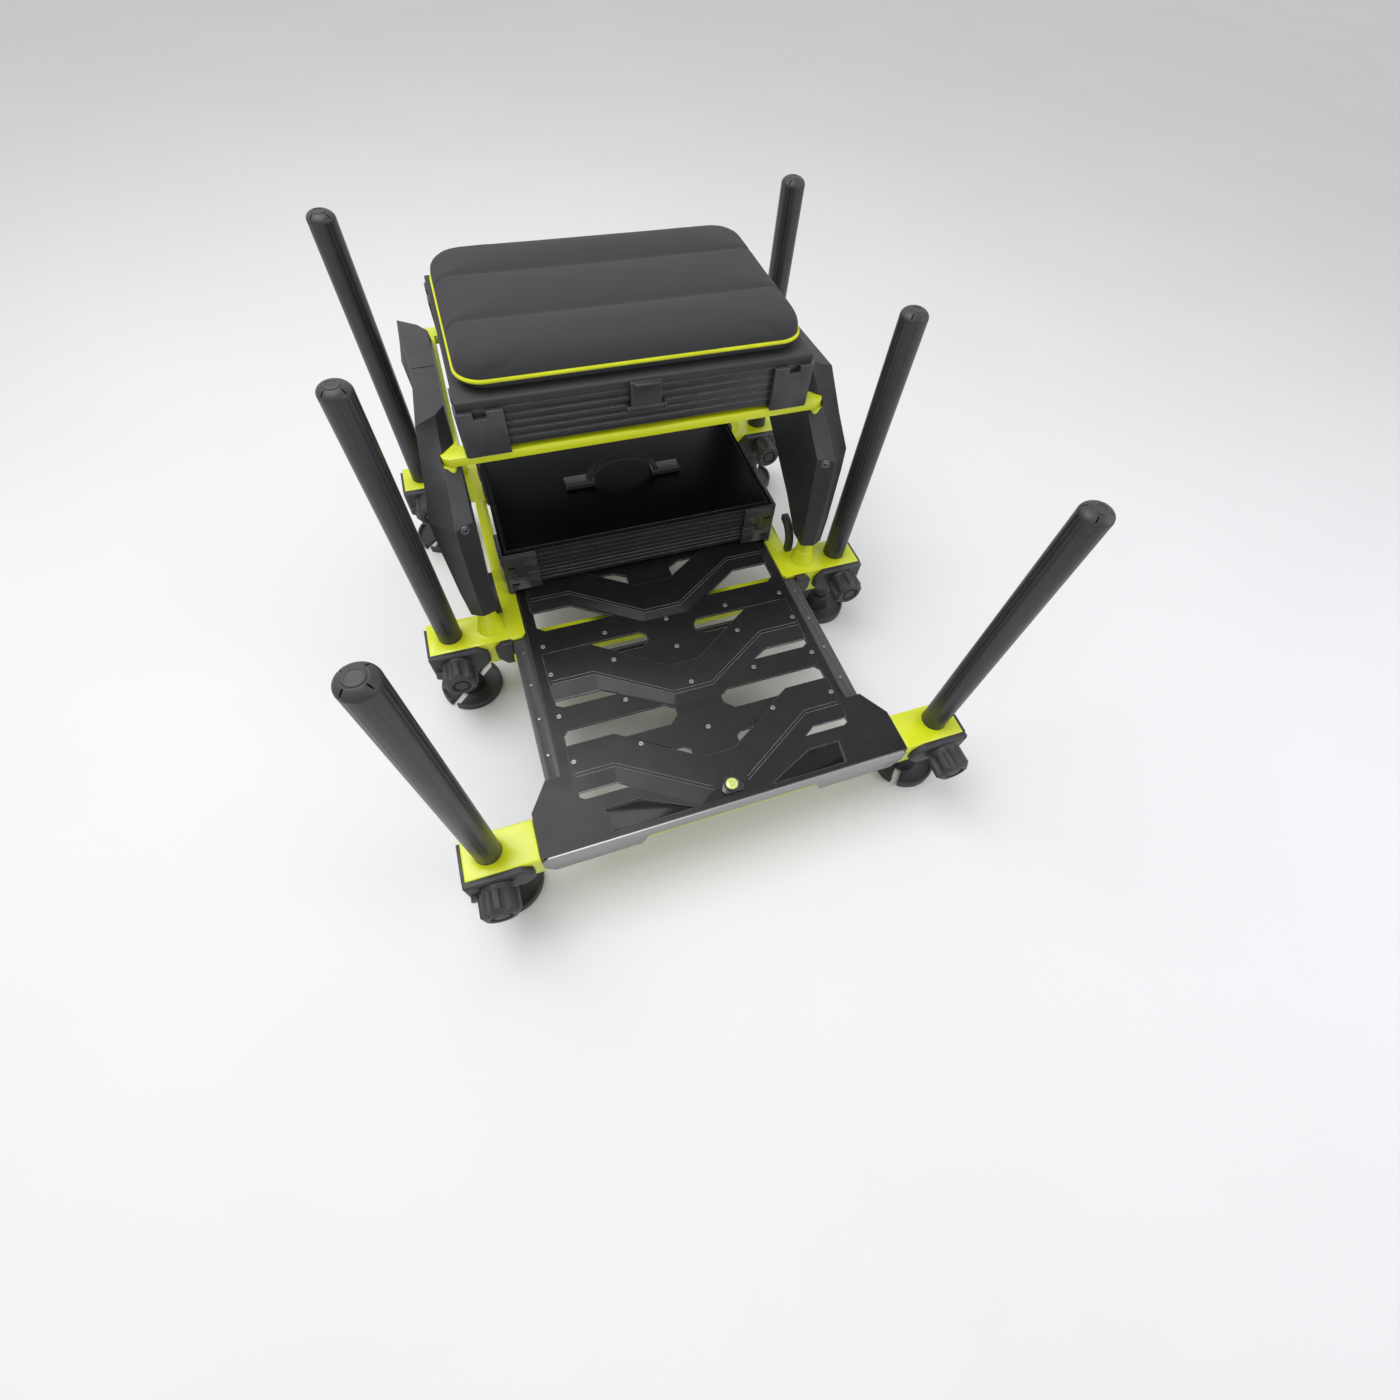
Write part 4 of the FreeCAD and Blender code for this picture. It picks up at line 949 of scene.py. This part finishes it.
def cap_dome():
    """The leg cap's dome at the origin, with its slits, ring groove and sunk disc."""
    bpy.ops.mesh.primitive_uv_sphere_add(segments=64, ring_count=32, radius=CAP_R * MM,
                                         scale=(1.0, 1.0, CAP_RISE / CAP_R))
    dome = placed("cap_dome")
    cutters = []
    for slit in range(CAP_SLITS):
        turn = math.radians(45 + 360 / CAP_SLITS * slit)
        spot = (CAP_SLIT_R * MM * math.cos(turn), CAP_SLIT_R * MM * math.sin(turn), CAP_SLIT_Z * MM)
        bpy.ops.mesh.primitive_cube_add(size=1.0, rotation=(0, 0, turn), scale=mm(CAP_SLIT_SIZE),
                                        location=spot)
        cutters.append(placed("slit"))
    groove = (0, 0, CAP_RISE * MM * CAP_GROOVE_LEVEL)
    well = (0, 0, CAP_RISE * MM + CAP_WELL_RISE * MM)
    cutters.append(hoop("groove", groove, UPWARD, *mm(CAP_GROOVE)))
    cutters.append(drum("well", well, UPWARD, *mm(CAP_WELL)))
    for cutter in cutters:
        modify(dome, "BOOLEAN", operation="DIFFERENCE", solver="EXACT", object=cutter)
        bpy.data.objects.remove(cutter)
    return dome


def ends_with_dome(leg, dome):
    """The leg's ball as it is, with the flat cap at the top changed for the dome."""
    node = leg + "_leg_ends"
    low, high = span(node)
    centre = Vector(((low.x + high.x) / 2, (low.y + high.y) / 2, span(leg + "_leg")[1].z))
    piece = copy_of(node, node + "_soft")
    bpy.ops.object.mode_set(mode="EDIT")
    bpy.ops.mesh.select_all(action="DESELECT")
    bpy.ops.object.mode_set(mode="OBJECT")
    for point in piece.data.vertices:
        point.select = point.co.z > centre.z - CAP_LENGTH * MM
    bpy.ops.object.mode_set(mode="EDIT")
    bpy.ops.mesh.delete(type="VERT")
    bpy.ops.object.mode_set(mode="OBJECT")
    cap = bpy.data.objects.new("cap", dome.data.copy())
    cap.data.transform(Matrix.Translation(centre))
    bpy.context.scene.collection.objects.link(cap)
    piece = joined(node + "_soft", [piece, cap])
    smooth(piece, 38.0)
    hold(piece, node, black_moulding())


class SEATBOX_OT_case(Operator):
    """The shallow case with its lid, plastic corners, hinge pins and strap handle"""
    bl_idname = "seatbox.case"
    bl_label = "Case"

    def execute(self, context):
        softened("case_tray", WALL_EDGE * MM, "case_aluminium", case_wall_coat())
        softened("case_lid", WALL_EDGE * MM, "case_gloss", case_lid_coat())
        for node in ("case_tray_corners", "case_lid_corners"):
            softened(node, sizes().moulding_edge, "moulded_plastic", corner_plastic())
            corner_marks(node)
        softened("handle_mounts", sizes().moulding_edge, "moulded_plastic", corner_plastic())
        softened("case_handle", STRAP_EDGE * MM, "strap_rubber", strap_rubber())
        strap_ribs()
        dress("case_hinge_pins", pin_steel())
        return {"FINISHED"}


def corner_marks(node):
    """On each face of the plastic corners: a raised frame, and a small dark gloss box proud of the
    face for the slit, painted shade.
    """
    low, high = span(node)
    middle = (low.z + high.z) / 2
    frames, slits = [], []
    for side in (-1, 1):
        x = high.x * side
        for y, end in ((low.y, -1), (span("case_tray_corners")[1].y, 1)):
            for along_x in (True, False):
                for reach, wide, tall, group in (MARK_FRAME, MARK_SLIT_SHADE):
                    if along_x:
                        at = (x - side * reach * MM, y, middle)
                        size = (wide * MM, MARK_T * MM, tall * MM)
                    else:
                        at = (x, y - end * reach * MM, middle)
                        size = (MARK_T * MM, wide * MM, tall * MM)
                    if node == "case_lid_corners" and end == 1 and along_x:
                        continue
                    bpy.ops.mesh.primitive_cube_add(size=1.0, location=at, scale=size)
                    mark = placed("mark")
                    modify(mark, "BEVEL", width=MARK_EDGE * MM, segments=2)
                    smooth(mark)
                    (frames if group == "frame" else slits).append(mark)
    add_on(joined(node + "_frames", frames), node, corner_plastic())
    # The dark slit boxes are painted shade, not cuts.
    add_on(joined(node + "_slit_shade_boxes", slits), node, gloss_black())


def strap_ribs():
    """Fine ribs across the top of the carrying strap."""
    low, high = span("case_handle")
    rise = high.z - low.z
    half = STRAP_HALF * MM
    radius = (half ** 2 + rise ** 2) / (2 * rise)
    centre = Vector((0.0, (low.y + high.y) / 2, high.z - radius))
    count = sizes().strap_ribs
    width = high.y - low.y - STRAP_RIB_MARGIN * MM
    ribs = []
    for step in range(count):
        turn = math.radians(STRAP_TURN) * (2 * step / (count - 1) - 1)
        spot = centre + Vector((radius * math.sin(turn), 0, radius * math.cos(turn)))
        ribs.append(drum("rib", spot, (0, 1, 0), STRAP_RIB_R * MM, width, sides=8))
    add_on(joined("strap_ribs", ribs), "case_handle", strap_rubber())


class SEATBOX_OT_seat(Operator):
    """Seat tray, board, catch and hinge pins under the cushion"""
    bl_idname = "seatbox.seat"
    bl_label = "Seat tray and board"

    def execute(self, context):
        softened("seat_tray", WALL_EDGE * MM, "case_aluminium", case_wall_coat())
        softened("seat_tray_corners", sizes().moulding_edge, "moulded_plastic", corner_plastic())
        softened("seat_board", sizes().plate_edge, "seat_board", board_plastic())
        softened("seat_catch", CATCH_EDGE * MM, "moulded_plastic", black_moulding())
        dress("seat_hinge_pins", pin_steel())
        return {"FINISHED"}


class SEATBOX_OT_cushion(Operator):
    """Padded cushion, puffed by cloth pressure between its sewn seams"""
    bl_idname = "seatbox.cushion"
    bl_label = "Cushion"

    def execute(self, context):
        piece = copy_of("seat_cushion", "seat_cushion_cover")
        low, high = span("seat_cushion")
        shrink = sizes().cushion_shrink
        anchor = Vector(((low.x + high.x) / 2, (low.y + high.y) / 2, low.z))
        size = high - low
        for point in piece.data.vertices:
            off = point.co - anchor
            point.co = anchor + Vector((off.x * (1 - 2 * shrink / size.x),
                                        off.y * (1 - 2 * shrink / size.y),
                                        off.z * (1 - shrink / size.z)))
        modify(piece, "REMESH", mode="VOXEL", voxel_size=CUSHION_GRID * MM)
        seam = low.z + SEAM_LEVEL * size.z
        puff(piece, low.z, seam, anchor.y)
        modify(piece, "SUBSURF", levels=1)
        smooth(piece, 80.0)
        hold(piece, "seat_cushion", seat_fabric())
        piping(seam, anchor, size / 2 - Vector((shrink, shrink, 0)))
        return {"FINISHED"}


def puff(piece, bottom, seam, middle_y):
    """Blow the cover up between its pinned seams, and keep each point near its place."""
    pinned = piece.vertex_groups.new(name="pinned")
    for point in piece.data.vertices:
        across = min(abs(point.co.y - middle_y - line * MM) for line in CHANNELS)
        held = (point.co.z < bottom + PINNED_BOTTOM * MM
                or abs(point.co.z - seam) < PINNED_SEAM * MM)
        if across < PINNED_SEAM * MM and point.co.z > seam:
            held = True
            share = min(1.0, (point.co.z - seam) / (CHANNEL_SLOPE * MM))
            point.co.z -= CHANNEL_DEPTH * MM * share
        if held:
            pinned.add([point.index], 1.0, "REPLACE")
    start = [point.co.copy() for point in piece.data.vertices]
    cloth = piece.modifiers.new("Cloth", "CLOTH")
    cloth.settings.vertex_group_mass = "pinned"
    cloth.settings.use_pressure = True
    cloth.settings.uniform_pressure_force = CLOTH_PRESSURE
    cloth.settings.effector_weights.gravity = 0.0
    scene = bpy.context.scene
    for step in range(1, CLOTH_STEPS + 1):
        scene.frame_set(step)
    shown = piece.evaluated_get(bpy.context.evaluated_depsgraph_get()).data
    ends = [point.co.copy() for point in shown.vertices]
    piece.modifiers.remove(cloth)
    scene.frame_set(1)
    cap = sizes().cushion_swell
    for point, first, last in zip(piece.data.vertices, start, ends):
        move = last - first
        if move.length > cap:
            move *= cap / move.length
        point.co = first + move
        point.co.z = max(point.co.z, bottom)


def piping(level, centre, half):
    """Sewn piping along the cushion's perimeter seam."""
    radius = CUSHION_CORNER * MM
    curve = bpy.data.curves.new("seat_piping", "CURVE")
    curve.dimensions = "3D"
    curve.bevel_depth = sizes().piping_radius
    curve.bevel_resolution = 4
    line = curve.splines.new("POLY")
    points = []
    for corner, (sx, sy) in enumerate(((1, -1), (1, 1), (-1, 1), (-1, -1))):
        for step in range(PIPING_STEPS + 1):
            turn = math.radians(90 * corner - 90 + 90 / PIPING_STEPS * step)
            points.append((centre.x + sx * (half.x - radius) + radius * math.cos(turn),
                           centre.y + sy * (half.y - radius) + radius * math.sin(turn), level))
    line.points.add(len(points) - 1)
    for spot, place in zip(line.points, points):
        spot.co = (*place, 1.0)
    line.use_cyclic_u = True
    piece = bpy.data.objects.new("seat_piping", curve)
    bpy.context.scene.collection.objects.link(piece)
    alone(piece)
    bpy.ops.object.convert(target="MESH")
    piece = bpy.context.object
    smooth(piece, 60.0)
    add_on(piece, "seat_cushion", piping_fabric())


class SEATBOX_OT_stage(Operator):
    """Plain pale floor, soft light and the camera"""
    bl_idname = "seatbox.stage"
    bl_label = "Stage"

    def execute(self, context):
        make_floor()
        make_lights()
        make_camera()
        return {"FINISHED"}


def make_floor():
    """A wide plain plane under the feet."""
    bpy.ops.mesh.primitive_plane_add(size=FLOOR_SIZE)
    floor = placed("floor")
    material = bpy.data.materials.new("plain_floor")
    material.use_nodes = True
    net = Net(material.node_tree)
    surface = material.node_tree.nodes["Principled BSDF"]
    toned = use(net, drift_effect(), Color=solid(stage().floor), Amount=FLOOR_DRIFT[0],
                Size=FLOOR_DRIFT[1])
    net.feed(toned["Color"], surface.inputs["Base Color"])
    surface.inputs["Roughness"].default_value = 0.75
    surface.inputs["Specular IOR Level"].default_value = 0.2
    floor.data.materials.append(material)


def soft_light(name, place, size, power, colour=(1.0, 1.0, 1.0)):
    """A rectangular lamp that faces the middle of the box."""
    data = bpy.data.lights.new(name, "AREA")
    data.shape = "RECTANGLE"
    data.size, data.size_y = size
    data.energy = power
    data.color = colour
    lamp = bpy.data.objects.new(name, data)
    bpy.context.scene.collection.objects.link(lamp)
    lamp.location = place
    lamp.rotation_mode = "QUATERNION"
    lamp.rotation_quaternion = (Vector(LIT_SPOT) - Vector(place)).to_track_quat("-Z", "Y")


def make_lights():
    """Two lamps and light from all round; a plain pale backdrop is seen in place of that light."""
    soft_light("key_light", *KEY_LIGHT, stage().key)
    soft_light("side_light", *SIDE_LIGHT, stage().fill, SIDE_COLOUR)
    world = bpy.data.worlds.new("room")
    bpy.context.scene.world = world
    world.use_nodes = True
    tree = world.node_tree
    net = Net(tree)
    light = tree.nodes["Background"]
    light.inputs["Strength"].default_value = stage().sky
    light.inputs["Color"].default_value = (1.0, 1.0, 1.0, 1.0)
    plain = net.node("ShaderNodeBackground")
    plain.inputs["Color"].default_value = solid(BACKDROP)
    path = net.node("ShaderNodeLightPath")
    mirrored = net.math("MAXIMUM", path.outputs["Is Glossy Ray"],
                        path.outputs["Is Transmission Ray"])
    seen = net.math("MAXIMUM", path.outputs["Is Camera Ray"], mirrored)
    mixed = net.node("ShaderNodeMixShader")
    net.feed(seen, mixed.inputs[0])
    net.feed(light.outputs[0], mixed.inputs[1])
    net.feed(plain.outputs[0], mixed.inputs[2])
    net.feed(mixed.outputs[0], tree.nodes["World Output"].inputs["Surface"])


def make_camera():
    """The camera that took the photograph, solved from the footplate, frame and legs."""
    azimuth, elevation, roll = (math.radians(turn) for turn in CAMERA_TURNS)
    back = Vector((math.sin(azimuth) * math.cos(elevation),
                   -math.cos(azimuth) * math.cos(elevation), math.sin(elevation)))
    right = (-back).cross(Vector((0.0, 0.0, 1.0))).normalized()
    up = right.cross(-back)
    tilted = right * math.cos(roll) + up * math.sin(roll)
    upright = -right * math.sin(roll) + up * math.cos(roll)
    data = bpy.data.cameras.new("camera")
    data.lens = stage().lens
    data.sensor_width = SENSOR_WIDTH
    data.clip_start = 0.01
    camera = bpy.data.objects.new("camera", data)
    bpy.context.scene.collection.objects.link(camera)
    basis = [[tilted[i], upright[i], back[i], 0.0] for i in range(3)] + [[0.0, 0.0, 0.0, 1.0]]
    camera.matrix_world = Matrix(basis)
    camera.location = CAMERA_PLACE
    bpy.context.scene.camera = camera
    bpy.context.scene.view_settings.view_transform = "Standard"


class SEATBOX_PT_sidebar(Panel):
    """Sizes, colours and the steps that dress the seat box"""
    bl_idname = "SEATBOX_PT_sidebar"
    bl_label = "Seat box"
    bl_space_type = "VIEW_3D"
    bl_region_type = "UI"
    bl_category = "Seat Box"

    def draw(self, context):
        for title, group in (("Finishes", context.scene.seat_box_finishes),
                             ("Sizes", context.scene.seat_box_sizes),
                             ("Stage", context.scene.seat_box_stage)):
            box = self.layout.box()
            box.label(text=title)
            for key in group.bl_rna.properties.keys():
                if key not in ("rna_type", "name"):
                    box.prop(group, key)
        for step in STEPS:
            self.layout.operator(step.bl_idname)


STEPS = (SEATBOX_OT_stage, SEATBOX_OT_frame, SEATBOX_OT_covers, SEATBOX_OT_footplate,
         SEATBOX_OT_legs, SEATBOX_OT_case, SEATBOX_OT_seat, SEATBOX_OT_cushion)
GROUPS = (("seat_box_finishes", SeatBoxFinishes), ("seat_box_sizes", SeatBoxSizes),
          ("seat_box_stage", SeatBoxStage))


def register():
    for name, group in GROUPS:
        bpy.utils.register_class(group)
        setattr(bpy.types.Scene, name, PointerProperty(type=group))
    for step in STEPS:
        bpy.utils.register_class(step)
    bpy.utils.register_class(SEATBOX_PT_sidebar)


def unregister():
    bpy.utils.unregister_class(SEATBOX_PT_sidebar)
    for step in reversed(STEPS):
        bpy.utils.unregister_class(step)
    for name, group in reversed(GROUPS):
        delattr(bpy.types.Scene, name)
        bpy.utils.unregister_class(group)


def main():
    register()
    for step in STEPS:
        group, name = step.bl_idname.split(".")
        getattr(getattr(bpy.ops, group), name)()


if __name__ == "__main__":
    main()
